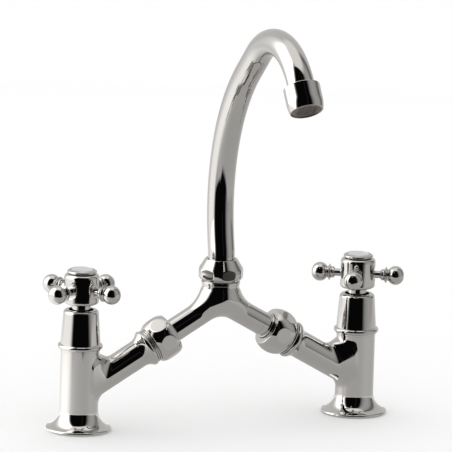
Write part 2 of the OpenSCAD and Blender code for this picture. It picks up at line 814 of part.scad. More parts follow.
// Rim of the button, with the hollow plug that sits in the hub
module index_rim(side) color(chrome) on_side(side) {
    edge_r = rim_t / 2.4;
    slope_to_h = rim_from_h + rim_t + rim_slope_h;
    difference() {
        union() {
            translate([0, 0, rim_from_h]) rotate_extrude() bar_outline(rim_r, rim_t, edge_r, edge_r);
            translate([0, 0, rim_from_h + rim_t])
                cylinder(r1 = rim_r - edge_r, r2 = index_r + 0.5, h = rim_slope_h);
            bar(plug_r, hub_to_h - plug_h, rim_from_h + edge_r);
        }
        bar(index_r + run_gap, index_from_h, slope_to_h + over);
        bar(plug_r - plug_wall, hub_to_h - plug_h - over, index_from_h - plug_wall / 2);
    }
}

// Enamelled disc with a low dome
module index_disc(side) color(white_enamel) on_side(side) {
    dome_r = (index_r * index_r + index_dome * index_dome) / 2 / index_dome;
    dome_to_h = index_from_h + index_t + index_dome;
    intersection() {
        translate([0, 0, dome_to_h - dome_r]) sphere(dome_r, $fn = 360);
        bar(index_r, index_from_h, dome_to_h + over);
    }
}

// Outline of the neck with its thread, and of the ball in which the arms meet
module heart_outline() {
    groove_w = 0.5;
    collar_from = neck_h - neck_collar_h;
    waist_r = neck_r - neck_groove;
    intersection() {
        translate([0, heart_lift]) circle(heart_r);
        translate([0, heart_lift - heart_r]) square([heart_r, heart_r + over]);
    }
    polygon([[0, heart_lift], [heart_r, heart_lift], [waist_r, collar_from - groove_w], [waist_r, collar_from],
        [0, collar_from]]);
    translate([0, collar_from]) bar_outline(neck_r, neck_collar_h, 0.4, 0.4);
    translate([0, neck_h]) square([neck_thread_r, neck_thread_h]);
}

// Hollow curve between the neck and one arm of the bridge, in the left arm's frame.
// Its inner end is cut off within the neck, so the two curves don't meet there.
module neck_blend() {
    r = arm_r - blend_sink;
    bend_r = neck_blend_r + r;
    x = centres / 2 - (neck_r - neck_groove - blend_sink) - neck_blend_r;
    z = arm_from_h + x * tan(slope) + bend_r / cos(slope);
    apart = 3;
    intersection() {
        bend([x, z], bend_r, straight_down + slope, 360, r);
        translate([x, -arm_r, z - 2 * bend_r]) cube([centres / 2 - apart - x, 2 * arm_r, 3 * bend_r]);
    }
}

// Arch under the bridge, from arm to arm
module arch_blend() {
    r = arm_r - blend_sink;
    bend_r = arch_r + r;
    bend([0, bridge_h - bend_r / cos(slope)], bend_r, 90 - slope, 90 + slope, r);
}

// Outline of a bridge arm from the union's flange to the ball, counted along the arm
module bridge_arm_outline() {
    in_ball = 5;
    translate([0, flange_from_t]) square([union_thread_r - thread_gap, flange_t]);
    translate([0, lip_t]) bar_outline(union_sleeve_r, union_lip_t + sleeve_out, 0, 0.5);
    translate([0, lip_t]) square([arm_r, arm_len - in_ball - lip_t]);
}

// The bores of both arms, which open into a hollow in the middle of the ball
module bridge_bores() {
    hollow_r = waterway_r + 1.3;
    in_hollow = 0.6 * waterway_r;
    for (side = [left, right]) {
        on_side(side) along_arm(flange_from_t - over)
            cylinder(r = waterway_r, h = arm_len - in_hollow - flange_from_t + over);
    }
    translate([0, 0, bridge_h]) sphere(hollow_r);
}

module bridge_body() color(chrome) difference() {
    union() {
        translate([0, 0, bridge_h]) rotate_extrude() heart_outline();
        for (side = [left, right]) {
            on_side(side) along_arm(0) rotate_extrude() bridge_arm_outline();
            on_side(side) neck_blend();
        }
        arch_blend();
    }
    bar(neck_bore_r, neck_bore_from_h, neck_end_h + over);
    bridge_bores();
}

// Outline of the two cones that narrow the spout's nut towards its faces
module spout_nut_outline() {
    wide = nut_wide_r + over;
    polygon([[0, 0], [nut_low_r, 0], [wide, wide - nut_low_r],
        [wide, nut_h - (wide - nut_top_r) / tan(nut_cone)], [nut_top_r, nut_h], [0, nut_h]]);
}

// A bulge that is part of a sphere, with cones to both faces, flattened on six sides
module spout_nut() color(chrome) difference() {
    intersection() {
        translate([0, 0, nut_from_h]) rotate_extrude() spout_nut_outline();
        translate([0, 0, nut_from_h + nut_wide_at]) sphere(nut_wide_r);
        hexagon(nut_af, nut_from_h, nut_to_h);
    }
    bar(neck_thread_r + thread_gap, nut_from_h - over, glide_to_h);
    bar(nut_mouth_r, glide_to_h - over, nut_to_h + over);
}

// Turned foot of the spout: nipple with two grooves, flange and spigot
module spout_foot() color(bright_brass) difference() {
    union() {
        bar(nipple_r, nipple_from_h, foot_flange_h + over);
        bar(foot_flange_r, foot_flange_h, tube_from_h);
        bar(tube_in_r - run_gap, tube_from_h, tube_from_h + spigot_len);
    }
    bar(waterway_r, nipple_from_h - over, tube_from_h + spigot_len + over);
    for (i = [0, 1]) {
        mid_h = foot_flange_h - upper_ring_at - i * ring_pitch;
        ring(nipple_r - ring_groove_d, nipple_r + over, mid_h - ring_groove_w / 2, mid_h + ring_groove_w / 2);
    }
}

module spout_oring(i) color(black_rubber)
    oring(nipple_r - ring_groove_d, ring_section_r, foot_flange_h - upper_ring_at - i * ring_pitch);

module spout_glide_ring() color(grey_plastic)
    ring(nut_mouth_r, neck_thread_r, glide_from_h, glide_to_h);

// Stands a piece at a point of the XZ plane, along a heading
module along_heading(from, a) {
    translate([from[0], 0, from[1]]) rotate([0, 90 - a, 0]) children();
}

// The spout's centre line as a bar of radius r, made longer at both ends by extra.
// Every second stretch is thinner by a hair and reaches a little into its neighbours.
module swan_neck(r, extra) {
    thin_r = r - joint_step;
    kick_lap = joint_lap / kick_r * 180 / PI;
    bar(r, tube_from_h - extra, kick_from_h);
    bend(kick_centre, kick_r, -kick_lap, kick_angle + kick_lap, thin_r);
    bend(sweep_centre, sweep_r, sweep_to + 90, kick_angle + 180, r);
    along_heading(sweep_end - joint_lap * heading(sweep_to), sweep_to)
        cylinder(r = thin_r, h = straight_len + 2 * joint_lap);
    bend(crook_centre, crook_r, outlet_lean, sweep_to + 90, r);
    along_heading(crook_end - joint_lap * heading(outlet_lean - 90), outlet_lean - 90)
        cylinder(r = thin_r, h = joint_lap + tube_to + extra);
}

module spout_tube() color(chrome) to_front() difference() {
    swan_neck(tube_r, 0);
    swan_neck(tube_in_r, over);
}

// Outline of the aerator's housing: straight, then drawn in along an arc to the outlet
module aerator_outline() {
    draw_in = aerator_r - aerator_end_r;
    arc_r = (aerator_taper_len * aerator_taper_len + draw_in * draw_in) / 2 / draw_in;
    straight = aerator_len - aerator_taper_len;
    bar_outline(aerator_r, straight, aerator_edge_r, 0);
    intersection() {
        translate([aerator_r - arc_r, straight]) circle(arc_r);
        translate([0, straight]) square([aerator_r, aerator_taper_len]);
    }
}

module aerator_housing() color(chrome) at_outlet(aerator_from) difference() {
    rotate_extrude() aerator_outline();
    bar(aerator_bore_r, -over, aerator_thread_len + aerator_washer_t + over);
    bar(insert_r + thread_gap, aerator_thread_len + aerator_washer_t, aerator_len + over);
}

module aerator_washer() color(black_rubber) at_outlet(0)
    ring(tube_in_r, tube_r, tube_to, insert_from);

// Flow insert with a ring of jets and one in the middle
module aerator_insert() color(grey_plastic) at_outlet(0) {
    jet_r = 0.9;
    jet_ring_r = 0.62 * insert_r;
    difference() {
        bar(insert_r, insert_from, mesh_from);
        bar(jet_r, insert_from - over, mesh_from + over);
        for (i = [0 : jets - 1]) {
            rotate([0, 0, 360 / jets * i]) translate([jet_ring_r, 0, 0])
                bar(jet_r, insert_from - over, mesh_from + over);
        }
    }
}

// Square mesh in a round edge
module aerator_mesh() color(mesh_steel) at_outlet(mesh_from) {
    edge = 1.2;
    hole = mesh_pitch - mesh_wire;
    reach = floor((insert_r - edge) / mesh_pitch);
    difference() {
        bar(insert_r, 0, mesh_t);
        for (i = [-reach : reach], j = [-reach : reach]) {
            corner = (sqrt(i * i + j * j) + 0.75) * mesh_pitch;
            if (corner < insert_r - edge) {
                translate([i * mesh_pitch - hole / 2, j * mesh_pitch - hole / 2, -over])
                    cube([hole, hole, mesh_t + 2 * over]);
            }
        }
    }
}

bridge_body();
spout_nut();
spout_foot();
spout_oring(0);  // spout_oring_upper
spout_oring(1);  // spout_oring_lower
spout_glide_ring();
spout_tube();
aerator_housing();
aerator_washer();
aerator_insert();
aerator_mesh();
pillar_body(left);  // left_pillar_body
foot_seal(left);  // left_foot_seal
inlet_tail(left);  // left_inlet_tail
deck_rubber_washer(left);  // left_deck_rubber_washer
deck_steel_washer(left);  // left_deck_steel_washer
back_nut(left);  // left_back_nut
union_nut(left);  // left_union_nut
union_washer(left);  // left_union_washer
valve_housing(left);  // left_valve_housing
seat_seal(left);  // left_seat_seal
fixed_disc(left);  // left_fixed_disc
moving_disc(left);  // left_moving_disc
spindle(left);  // left_spindle
spindle_oring(left);  // left_spindle_oring
bell_cover(left);  // left_bell_cover
handle_hub(left);  // left_handle_hub
handle_arm(left, 0);  // left_handle_arm_1
handle_arm(left, 1);  // left_handle_arm_2
handle_arm(left, 2);  // left_handle_arm_3
handle_arm(left, 3);  // left_handle_arm_4
handle_screw(left);  // left_handle_screw
index_rim(left);  // left_index_rim
index_disc(left);  // left_index_disc
pillar_body(right);  // right_pillar_body
foot_seal(right);  // right_foot_seal
inlet_tail(right);  // right_inlet_tail
deck_rubber_washer(right);  // right_deck_rubber_washer
deck_steel_washer(right);  // right_deck_steel_washer
back_nut(right);  // right_back_nut
union_nut(right);  // right_union_nut
union_washer(right);  // right_union_washer
valve_housing(right);  // right_valve_housing
seat_seal(right);  // right_seat_seal
fixed_disc(right);  // right_fixed_disc
moving_disc(right);  // right_moving_disc
spindle(right);  // right_spindle
spindle_oring(right);  // right_spindle_oring
bell_cover(right);  // right_bell_cover
handle_hub(right);  // right_handle_hub
handle_arm(right, 0);  // right_handle_arm_1
handle_arm(right, 1);  // right_handle_arm_2
handle_arm(right, 2);  // right_handle_arm_3
handle_arm(right, 3);  // right_handle_arm_4
handle_screw(right);  // right_handle_screw
index_rim(right);  // right_index_rim
index_disc(right);  // right_index_disc
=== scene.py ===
import json
import math
import bmesh
import bpy
import numpy as np
from mathutils import Matrix, Vector


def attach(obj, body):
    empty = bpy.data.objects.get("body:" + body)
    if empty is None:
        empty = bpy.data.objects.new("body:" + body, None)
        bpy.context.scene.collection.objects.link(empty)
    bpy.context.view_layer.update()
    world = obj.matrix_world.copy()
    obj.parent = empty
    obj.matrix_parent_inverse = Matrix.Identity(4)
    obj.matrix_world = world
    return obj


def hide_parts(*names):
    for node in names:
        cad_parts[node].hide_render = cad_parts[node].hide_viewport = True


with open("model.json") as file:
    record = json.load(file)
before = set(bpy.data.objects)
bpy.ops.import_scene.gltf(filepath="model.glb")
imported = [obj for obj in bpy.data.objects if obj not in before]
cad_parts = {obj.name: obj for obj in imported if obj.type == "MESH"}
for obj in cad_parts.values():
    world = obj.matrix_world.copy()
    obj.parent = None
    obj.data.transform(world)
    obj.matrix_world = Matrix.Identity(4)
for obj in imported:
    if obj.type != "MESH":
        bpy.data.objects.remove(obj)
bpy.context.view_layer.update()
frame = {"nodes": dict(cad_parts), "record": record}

# Lengths are written in millimetres; the scene is in metres
MM = 0.001
SIDES = {"left": -1, "right": 1}

# Layout of the pillars, their slanted arms and the bridge
PILLAR_X = 100
SLOPE = math.radians(30)
ARM_FROM_H = 25.5
ARM_LEN = PILLAR_X / math.cos(SLOPE)
BRIDGE_H = ARM_FROM_H + PILLAR_X * math.tan(SLOPE)
UNION_T = 67.47
HANDLE_REST = 30

# Camera, fitted to the photograph; VIEW_END is in metres
VIEW_AZIMUTH = math.radians(22.37)
VIEW_ELEVATION = math.radians(11.93)
VIEW_ROLL = math.radians(1.64)
VIEW_DISTANCE = 5501
VIEW_TARGET_H = 120
VIEW_END = 20
SENSOR_WIDTH = 36
FOCAL_PIXELS = 8202.8
IMAGE_PIXELS = 452
TARGET_PIXEL = (221.67, 246.3)


# Outlines of turned pieces: lists of runs, each with rows of radius, height and outward normal.
# An outline goes up with the solid on its inner side; between two runs there is a crease.

def line(start, end, step=40.0):
    """Straight run from one (radius, height) to another."""
    start, end = np.array(start, float), np.array(end, float)
    along = end - start
    length = np.hypot(*along)
    share = np.linspace(0, 1, max(2, math.ceil(length / step) + 1))
    points = start + share[:, None] * along
    normal = np.array([along[1], -along[0]]) / length
    return np.column_stack([points, np.tile(normal, (len(share), 1))])


def arc(centre, radius, start, end, step=0.35):
    """Round run about a centre, from one angle to another in degrees; backwards makes a hollow."""
    count = max(5, math.ceil(radius * math.radians(abs(end - start)) / step) + 1)
    angle = np.radians(np.linspace(start, end, count))
    out = np.column_stack([np.cos(angle), np.sin(angle)])
    sign = 1 if end > start else -1
    return np.column_stack([np.array(centre) + radius * out, sign * out])


def smooth(*runs):
    """Joins runs that meet without a crease."""
    kept = [runs[0]] + [run[1:] for run in runs[1:]]
    return np.concatenate(kept)


def rounded(corners, step=40.0):
    """Outline through corners (radius, height, rounding), as one run with all its roundings."""
    parts = []
    at = np.array(corners[0][:2], float)
    for before, corner, after in zip(corners, corners[1:], corners[2:]):
        here = np.array(corner[:2], float)
        back = np.array(before[:2]) - here
        ahead = np.array(after[:2]) - here
        back = back / np.hypot(*back)
        ahead = ahead / np.hypot(*ahead)
        half = math.acos(np.clip(back @ ahead, -1, 1)) / 2
        reach = corner[2] / math.tan(half)
        bisector = (back + ahead) / np.hypot(*(back + ahead))
        centre = here + bisector * corner[2] / math.sin(half)
        enter, leave = here + back * reach, here + ahead * reach
        if np.hypot(*(enter - at)) > 1e-6:
            parts.append(line(at, enter, step))
        start = math.degrees(math.atan2(*(enter - centre)[::-1]))
        end = math.degrees(math.atan2(*(leave - centre)[::-1]))
        turn = (end - start + 180) % 360 - 180
        parts.append(arc(centre, corner[2], start, start + turn, min(0.35, corner[2] / 4)))
        at = leave
    parts.append(line(at, corners[-1][:2], step))
    return smooth(*parts)


# Shells: points, outward normals and four-cornered faces

def grid_shell(points, normals, closed_across):
    """Shell over rows and columns of points; the columns close into a ring where asked."""
    rows, columns = points.shape[:2]
    index = np.arange(rows * columns).reshape(rows, columns)
    if closed_across:
        index = np.column_stack([index, index[:, 0]])
    faces = np.stack([index[:-1, :-1], index[:-1, 1:], index[1:, 1:], index[1:, :-1]], axis=-1)
    return points.reshape(-1, 3), normals.reshape(-1, 3), faces.reshape(-1, 4)


def joined(shells):
    """One shell out of several."""
    offsets = np.cumsum([0] + [len(points) for points, normals, faces in shells])
    return (np.concatenate([shell[0] for shell in shells]),
            np.concatenate([shell[1] for shell in shells]),
            np.concatenate([shell[2] + offset for shell, offset in zip(shells, offsets)]))


def turned(runs, steps=128):
    """Shell of a piece turned about the Z axis."""
    angle = np.linspace(0, 2 * math.pi, steps, endpoint=False)
    cos_a, sin_a = np.cos(angle), np.sin(angle)
    shells = []
    for run in runs:
        radius, height, normal_r, normal_h = (run[:, i, None] for i in range(4))
        points = np.stack([radius * cos_a, radius * sin_a, height + 0 * cos_a], axis=-1)
        normals = np.stack([normal_r * cos_a, normal_r * sin_a, normal_h + 0 * cos_a], axis=-1)
        shells.append(grid_shell(points, normals, True))
    return joined(shells)


def placed(shell, place):
    """The shell moved by a matrix, which may mirror it."""
    matrix = np.array(place)
    points = shell[0] @ matrix[:3, :3].T + matrix[:3, 3]
    normals = shell[1] @ matrix[:3, :3].T
    faces = shell[2] if np.linalg.det(matrix[:3, :3]) > 0 else shell[2][:, ::-1]
    return points, normals, faces


def pressed(shell, change):
    """The shell with its points moved by a function, and its normals to match."""
    points, normals, faces = shell
    nearest_axis = np.eye(3)[np.argmin(np.abs(normals), axis=1)]
    across = np.cross(normals, nearest_axis)
    across /= np.linalg.norm(across, axis=1)[:, None]
    along = np.cross(normals, across)
    reach = 0.01
    moved_across = change(points + reach * across) - change(points - reach * across)
    moved_along = change(points + reach * along) - change(points - reach * along)
    new_normals = np.cross(moved_across, moved_along)
    new_normals /= np.linalg.norm(new_normals, axis=1)[:, None]
    return change(points), new_normals, faces


def smaller(a, b, soft):
    """The smaller of two values, with the change from one to the other rounded."""
    share = np.clip(0.5 + 0.5 * (b - a) / soft, 0, 1)
    return b + (a - b) * share - soft * share * (1 - share)


def filleted(a, b, radius):
    """The smaller of two distances, with a hollow curve where their surfaces meet."""
    nearest = np.maximum(radius, np.minimum(a, b))
    return nearest - np.hypot(np.maximum(radius - a, 0), np.maximum(radius - b, 0))


def flats(across, count=6, soft=0.25, first=-90):
    """Function that flattens a turned shell on some sides, with a first side at an angle in degrees."""
    def change(points):
        points = points.copy()
        for number in range(count):
            angle = math.radians(first + 360 / count * number)
            out = np.array([math.cos(angle), math.sin(angle), 0])
            distance = points @ out
            points -= (distance - smaller(distance, across / 2, soft))[:, None] * out
        return points
    return change


# Carved shells: the surface where a field over space is zero, for bodies with hollow curves

SETTLING_ROUNDS = 3


def blurred(field, width):
    """Field smoothed with a bell curve, whose width is counted in cells."""
    reach = math.ceil(2.5 * width)
    weights = np.exp(-0.5 * (np.arange(-reach, reach + 1) / width) ** 2)
    weights /= weights.sum()
    for axis in range(3):
        wide = np.moveaxis(field, axis, 0)
        wide = np.concatenate([wide[:1]] * reach + [wide] + [wide[-1:]] * reach)
        size = field.shape[axis]
        wide = sum(weight * wide[i:i + size] for i, weight in enumerate(weights))
        field = np.moveaxis(wide, 0, axis)
    return field


def sampled(arrays, points, low, cell):
    """Values of gridded arrays at points between the grid's nodes."""
    place = (points - low) / cell
    corner = np.clip(np.floor(place).astype(int), 0, np.array(arrays[0].shape) - 2)
    part = place - corner
    values = [0] * len(arrays)
    for dx in (0, 1):
        for dy in (0, 1):
            for dz in (0, 1):
                step = np.array([dx, dy, dz])
                weight = np.prod(np.where(step == 1, part, 1 - part), axis=1)
                at = tuple((corner + step).T)
                values = [value + weight * array[at] for value, array in zip(values, arrays)]
    return values


def surface_net(field, low, cell):
    """Points and faces of the surface where a gridded field changes its sign."""
    inside = field < 0
    steps = [(dx, dy, dz) for dx in (0, 1) for dy in (0, 1) for dz in (0, 1)]
    counts = sum(inside[tuple(slice(s, s + n - 1) for s, n in zip(step, field.shape))].astype(int)
                 for step in steps)
    cells = np.argwhere((counts > 0) & (counts < 8))
    total = np.zeros((len(cells), 3))
    crossings = np.zeros(len(cells))
    unit = np.eye(3, dtype=int)
    for step in steps:
        for axis in range(3):
            if step[axis]:
                continue
            start = np.array(step)
            end = start + unit[axis]
            a = field[tuple((cells + start).T)]
            b = field[tuple((cells + end).T)]
            crossed = (a < 0) != (b < 0)
            share = np.where(crossed, a / np.where(crossed, a - b, 1), 0)
            total += crossed[:, None] * (start + share[:, None] * (end - start))
            crossings += crossed
    points = low + cell * (cells + total / crossings[:, None])
    number = np.full(np.array(field.shape) - 1, -1)
    number[tuple(cells.T)] = np.arange(len(cells))
    faces = []
    for axis in range(3):
        first, second = (axis + 1) % 3, (axis + 2) % 3
        upper = np.moveaxis(inside, axis, 0)[1:]
        lower = np.moveaxis(inside, axis, 0)[:-1]
        edges = np.argwhere(np.moveaxis(upper != lower, 0, axis))
        fits = (edges[:, first] > 0) & (edges[:, second] > 0)
        fits &= (edges[:, first] < number.shape[first]) & (edges[:, second] < number.shape[second])
        edges = edges[fits]
        around = [edges - unit[first] - unit[second], edges - unit[second], edges,
                  edges - unit[first]]
        quads = np.column_stack([number[tuple(corner.T)] for corner in around])
        falls = inside[tuple((edges + unit[axis]).T)]
        quads[falls] = quads[falls][:, ::-1]
        faces.append(quads)
    faces = np.concatenate(faces)
    return points, faces[(faces >= 0).all(axis=1)]


def cut(points, faces, planes):
    """Mesh without what lies outside planes (point, outward direction). A triangle names its last
    corner twice.
    """
    mesh = bpy.data.meshes.new("cut")
    mesh.from_pydata(points.tolist(), [], faces.tolist())
    work = bmesh.new()
    work.from_mesh(mesh)
    for point, outward in planes:
        whole = work.verts[:] + work.edges[:] + work.faces[:]
        bmesh.ops.bisect_plane(work, geom=whole, plane_co=point, plane_no=outward, clear_outer=True)
    bmesh.ops.triangulate(work, faces=[face for face in work.faces if len(face.verts) > 4])
    work.verts.index_update()
    points = np.array([vert.co[:] for vert in work.verts])
    corners = [[vert.index for vert in face.verts] for face in work.faces]
    faces = np.array([face if len(face) == 4 else face + face[-1:] for face in corners])
    work.free()
    bpy.data.meshes.remove(mesh)
    return points, faces


def carved(field_of, low, high, cell, blur, planes):
    """Shell of the zero surface of a slightly smoothed field of x, y and z, cut by planes."""
    low = np.array(low, float)
    axes = [np.arange(a, b + cell, cell) for a, b in zip(low, high)]
    x, y, z = np.meshgrid(*axes, indexing="ij")
    field = blurred(field_of(x, y, z), blur / cell)
    slopes = np.gradient(field, cell)
    points, faces = surface_net(field, low, cell)
    for round_number in range(SETTLING_ROUNDS):
        value, *slope = sampled([field, *slopes], points, low, cell)
        slope = np.column_stack(slope)
        points = points - (value / (slope ** 2).sum(axis=1))[:, None] * slope
    points, faces = cut(points, faces, planes)
    normals = np.column_stack(sampled(slopes, points, low, cell))
    return points, normals / np.linalg.norm(normals, axis=1)[:, None], faces


# Placing

def up_at(height):
    return Matrix.Translation((0, 0, height))


def pillar_frame(side):
    """Frame on a pillar's axis with +X towards the bridge."""
    sign = SIDES[side]
    return Matrix.Translation((sign * PILLAR_X, 0, 0)) @ Matrix.Diagonal((-sign, 1, 1, 1))


def along_arm(t):
    """Frame of a pillar's arm, standing on its axis at a distance from the pillar's axis."""
    tilt = Matrix.Rotation(math.pi / 2 - SLOPE, 4, "Y")
    return up_at(ARM_FROM_H) @ tilt @ up_at(t)


def add_piece(node, shell, body, slot):
    """Visible piece that stands for a CAD node and rides on its body. A face that names one of its
    corners twice is a triangle.
    """
    points, normals, faces = shell
    name = f"{node}_shape"
    mesh = bpy.data.meshes.new(name)
    corners = [list(dict.fromkeys(face)) for face in faces.tolist()]
    mesh.from_pydata((points * MM).tolist(), [], corners)
    mesh.shade_smooth()
    mesh.normals_split_custom_set_from_vertices(normals.tolist())
    mesh.materials.append(MATERIALS[slot])
    piece = bpy.data.objects.new(name, mesh)
    bpy.context.scene.collection.objects.link(piece)
    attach(piece, body)
    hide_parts(node)


# Materials

# Share of a noise's range that is used, since its values seldom leave it
NOISE_LOW, NOISE_HIGH = 0.3, 0.7


def new_material(name, colour, roughness, metallic=0.0):
    material = bpy.data.materials.new(name)
    material.use_nodes = True
    shader = material.node_tree.nodes["Principled BSDF"]
    shader.inputs["Base Color"].default_value = (*colour, 1)
    shader.inputs["Roughness"].default_value = roughness
    shader.inputs["Metallic"].default_value = metallic
    return material, material.node_tree.nodes, material.node_tree.links, shader


def noise(nodes, links, scale, detail=3.0, stretch=(1, 1, 1)):
    """Noise over the piece's own coordinates; returns its value."""
    place = nodes.new("ShaderNodeTexCoord")
    mapping = nodes.new("ShaderNodeMapping")
    mapping.inputs["Scale"].default_value = stretch
    texture = nodes.new("ShaderNodeTexNoise")
    texture.inputs["Scale"].default_value = scale
    texture.inputs["Detail"].default_value = detail
    links.new(place.outputs["Object"], mapping.inputs["Vector"])
    links.new(mapping.outputs["Vector"], texture.inputs["Vector"])
    return texture.outputs["Fac"]


def spread(nodes, links, value, low, high):
    """Value of a noise mapped to a range."""
    ranged = nodes.new("ShaderNodeMapRange")
    ranged.inputs["From Min"].default_value = NOISE_LOW
    ranged.inputs["From Max"].default_value = NOISE_HIGH
    ranged.inputs["To Min"].default_value = low
    ranged.inputs["To Max"].default_value = high
    links.new(value, ranged.inputs["Value"])
    return ranged.outputs["Result"]


def bump(nodes, links, shader, height, strength, distance):
    node = nodes.new("ShaderNodeBump")
    node.inputs["Strength"].default_value = strength
    node.inputs["Distance"].default_value = distance
    links.new(height, node.inputs["Height"])
    links.new(node.outputs["Normal"], shader.inputs["Normal"])


def tinted(nodes, links, shader, value, dark, light):
    """Base colour that varies between two tones with a noise."""
    ramp = nodes.new("ShaderNodeValToRGB")
    stops = ((NOISE_LOW, dark), (NOISE_HIGH, light))
    for element, (position, colour) in zip(ramp.color_ramp.elements, stops):
        element.position = position
        element.color = (*colour, 1)
    links.new(value, ramp.inputs["Fac"])
    links.new(ramp.outputs["Color"], shader.inputs["Base Color"])


def chrome():
    """Polished chromium with a faint haze and the slightest waviness from buffing."""
    material, nodes, links, shader = new_material("chrome", (0.6, 0.59, 0.575), 0.04, 1)
    haze = noise(nodes, links, 90, 4)
    links.new(spread(nodes, links, haze, 0.02, 0.06), shader.inputs["Roughness"])
    bump(nodes, links, shader, noise(nodes, links, 60, 2), 0.02, 0.0004)
    return material


def textured(name, dark, light, roughness, metallic, grain, stretch, relief):
    """Surface whose tone, roughness and height all vary with a grain that may be drawn out."""
    material, nodes, links, shader = new_material(name, light, roughness[0], metallic)
    tinted(nodes, links, shader, noise(nodes, links, grain, 4, stretch), dark, light)
    fine = noise(nodes, links, grain * 4, 3, stretch)
    links.new(spread(nodes, links, fine, *roughness), shader.inputs["Roughness"])
    bump(nodes, links, shader, fine, relief, 0.0002)
    return material


def brass():
    """Turned brass, a little dulled, with the fine rings of the tool."""
    return textured("brass", (0.6, 0.43, 0.2), (0.74, 0.56, 0.28), (0.2, 0.38), 1, 30,
                    (1, 1, 12), 0.12)


def rubber():
    """Black moulded rubber with a dusty bloom."""
    return textured("rubber", (0.02, 0.02, 0.021), (0.05, 0.05, 0.052), (0.55, 0.85), 0, 150,
                    (1, 1, 1), 0.25)


def steel():
    """Stainless steel, rolled and slightly stained."""
    return textured("steel", (0.46, 0.45, 0.43), (0.62, 0.61, 0.59), (0.22, 0.42), 1, 60,
                    (6, 1, 1), 0.1)


def dark_mesh_steel():
    """Steel of the aerator's mesh, darker and browner than the other steel."""
    return textured("dark_mesh_steel", (0.2, 0.175, 0.16), (0.33, 0.3, 0.28), (0.3, 0.5), 1, 200,
                    (1, 1, 1), 0.2)


def ceramic():
    """Lapped ceramic with a faint grain."""
    return textured("ceramic", (0.78, 0.76, 0.7), (0.88, 0.86, 0.81), (0.12, 0.3), 0, 200,
                    (1, 1, 1), 0.05)


def white_enamel():
    """Fired enamel, glossy, with the slightest orange peel."""
    return textured("white_enamel", (0.61, 0.61, 0.6), (0.66, 0.66, 0.65), (0.08, 0.16), 0, 90,
                    (1, 1, 1), 0.05)


def grey_plastic():
    """Moulded plastic with a matt grain."""
    return textured("grey_plastic", (0.62, 0.63, 0.64), (0.72, 0.73, 0.74), (0.35, 0.55), 0, 120,
                    (1, 1, 1), 0.15)


def red_fibre():
    """Pressed fibre with darker strands and a rough face."""
    return textured("red_fibre", (0.28, 0.08, 0.05), (0.46, 0.15, 0.1), (0.7, 0.9), 0, 80,
                    (1, 5, 5), 0.4)


MATERIALS = {"chrome": chrome(), "brass": brass(), "rubber": rubber(), "steel": steel(),
             "ceramic": ceramic(), "white_enamel": white_enamel(), "grey_plastic": grey_plastic(),
             "red_fibre": red_fibre(), "dark_mesh_steel": dark_mesh_steel()}
SLOT_OF = {subpart["node"]: subpart["material_slot"] for subpart in frame["record"]["subparts"]}
# Nodes that look other than the material of their slot
SPECIAL = {"aerator_mesh": "dark_mesh_steel"}


def dress_nodes():
    """Gives each CAD node the material of its slot."""
    for node, piece in frame["nodes"].items():
        piece.data.materials.clear()
        piece.data.materials.append(MATERIALS[SPECIAL.get(node, SLOT_OF[node])])


# Pillars

PILLAR_R = 13
PILLAR_TOP = 54.5
FOOT_R = 22.25
FOOT_BORE_R = 10.6
FOOT_SEAM = 13.967
BELL_SEAT_R = 10.5
ARM_R = 9.5
ARM_ROOT_T = 10
ARM_SEAM = 40


def foot_runs():
    edge, hollow_r = 1.3, 12
    edge_mid = FOOT_R - edge
    hollow_mid = PILLAR_R + hollow_r
    touch = math.degrees(math.atan2(FOOT_SEAM - edge, hollow_mid - edge_mid))
    return [line((FOOT_BORE_R, 0), (edge_mid, 0)),
            smooth(arc((edge_mid, edge), edge, -90, touch, 0.15),
                   arc((hollow_mid, FOOT_SEAM), hollow_r, 180 + touch, 180))]


def arm_end_runs():
    """The arm from its seam over the hollow shoulder and the two rings into the nut."""
    edge, hollow_r = 2.2, 8
    shoulder_r, shoulder_t, edge_to = 12.7, 55.13, 44.4
    face_r, face_t, core_r = 12.07, 56.67, 10.4
    ring_r, ring_from, ring_wide, pitch, ring_edge = 12.1, 57.17, 0.9, 1.4, 0.3
    edge_mid, hollow_mid = shoulder_r - edge, ARM_R + hollow_r
    length = math.sqrt((hollow_r + edge) ** 2 - (hollow_mid - edge_mid) ** 2)
    touch = math.degrees(math.atan2(length, hollow_mid - edge_mid))
    runs = [smooth(line((ARM_R, ARM_SEAM), (ARM_R, shoulder_t - length)),
                   arc((hollow_mid, shoulder_t - length), hollow_r, 180, 180 - touch),
                   arc((edge_mid, shoulder_t), edge, -touch, edge_to, 0.2)),
            line((face_r, face_t), (core_r, face_t)), line((core_r, face_t), (core_r, ring_from))]
    for start in (ring_from, ring_from + pitch):
        end = start + ring_wide
        runs.append(rounded([(core_r, start, 0), (ring_r, start, ring_edge),
                             (ring_r, end, ring_edge), (core_r, end, 0)]))
        runs.append(line((core_r, end), (core_r, start + pitch)))
    return runs


def pillar_field(x, y, z):
    """Standing body and slanted arm, joined with a hollow curve that is wider over the arm."""
    body = np.hypot(x, y) - PILLAR_R
    across = -x * math.sin(SLOPE) + (z - ARM_FROM_H) * math.cos(SLOPE)
    along = x * math.cos(SLOPE) + (z - ARM_FROM_H) * math.sin(SLOPE)
    arm = np.sqrt(across ** 2 + y ** 2 + np.minimum(along - ARM_ROOT_T, 0) ** 2) - ARM_R
    least_r, under_r, over_r = 0.5, 3, 10.5
    under_edge, under_to_over, fade = 2, 16, 5
    over_arm = np.clip((across + under_edge) / under_to_over, 0, 1)
    near_arm = np.clip(x / fade, 0, 1) * np.clip((PILLAR_TOP + 0.5 - z) / fade, 0, 1)
    return filleted(body, arm, least_r + (under_r + over_r * over_arm) * near_arm)


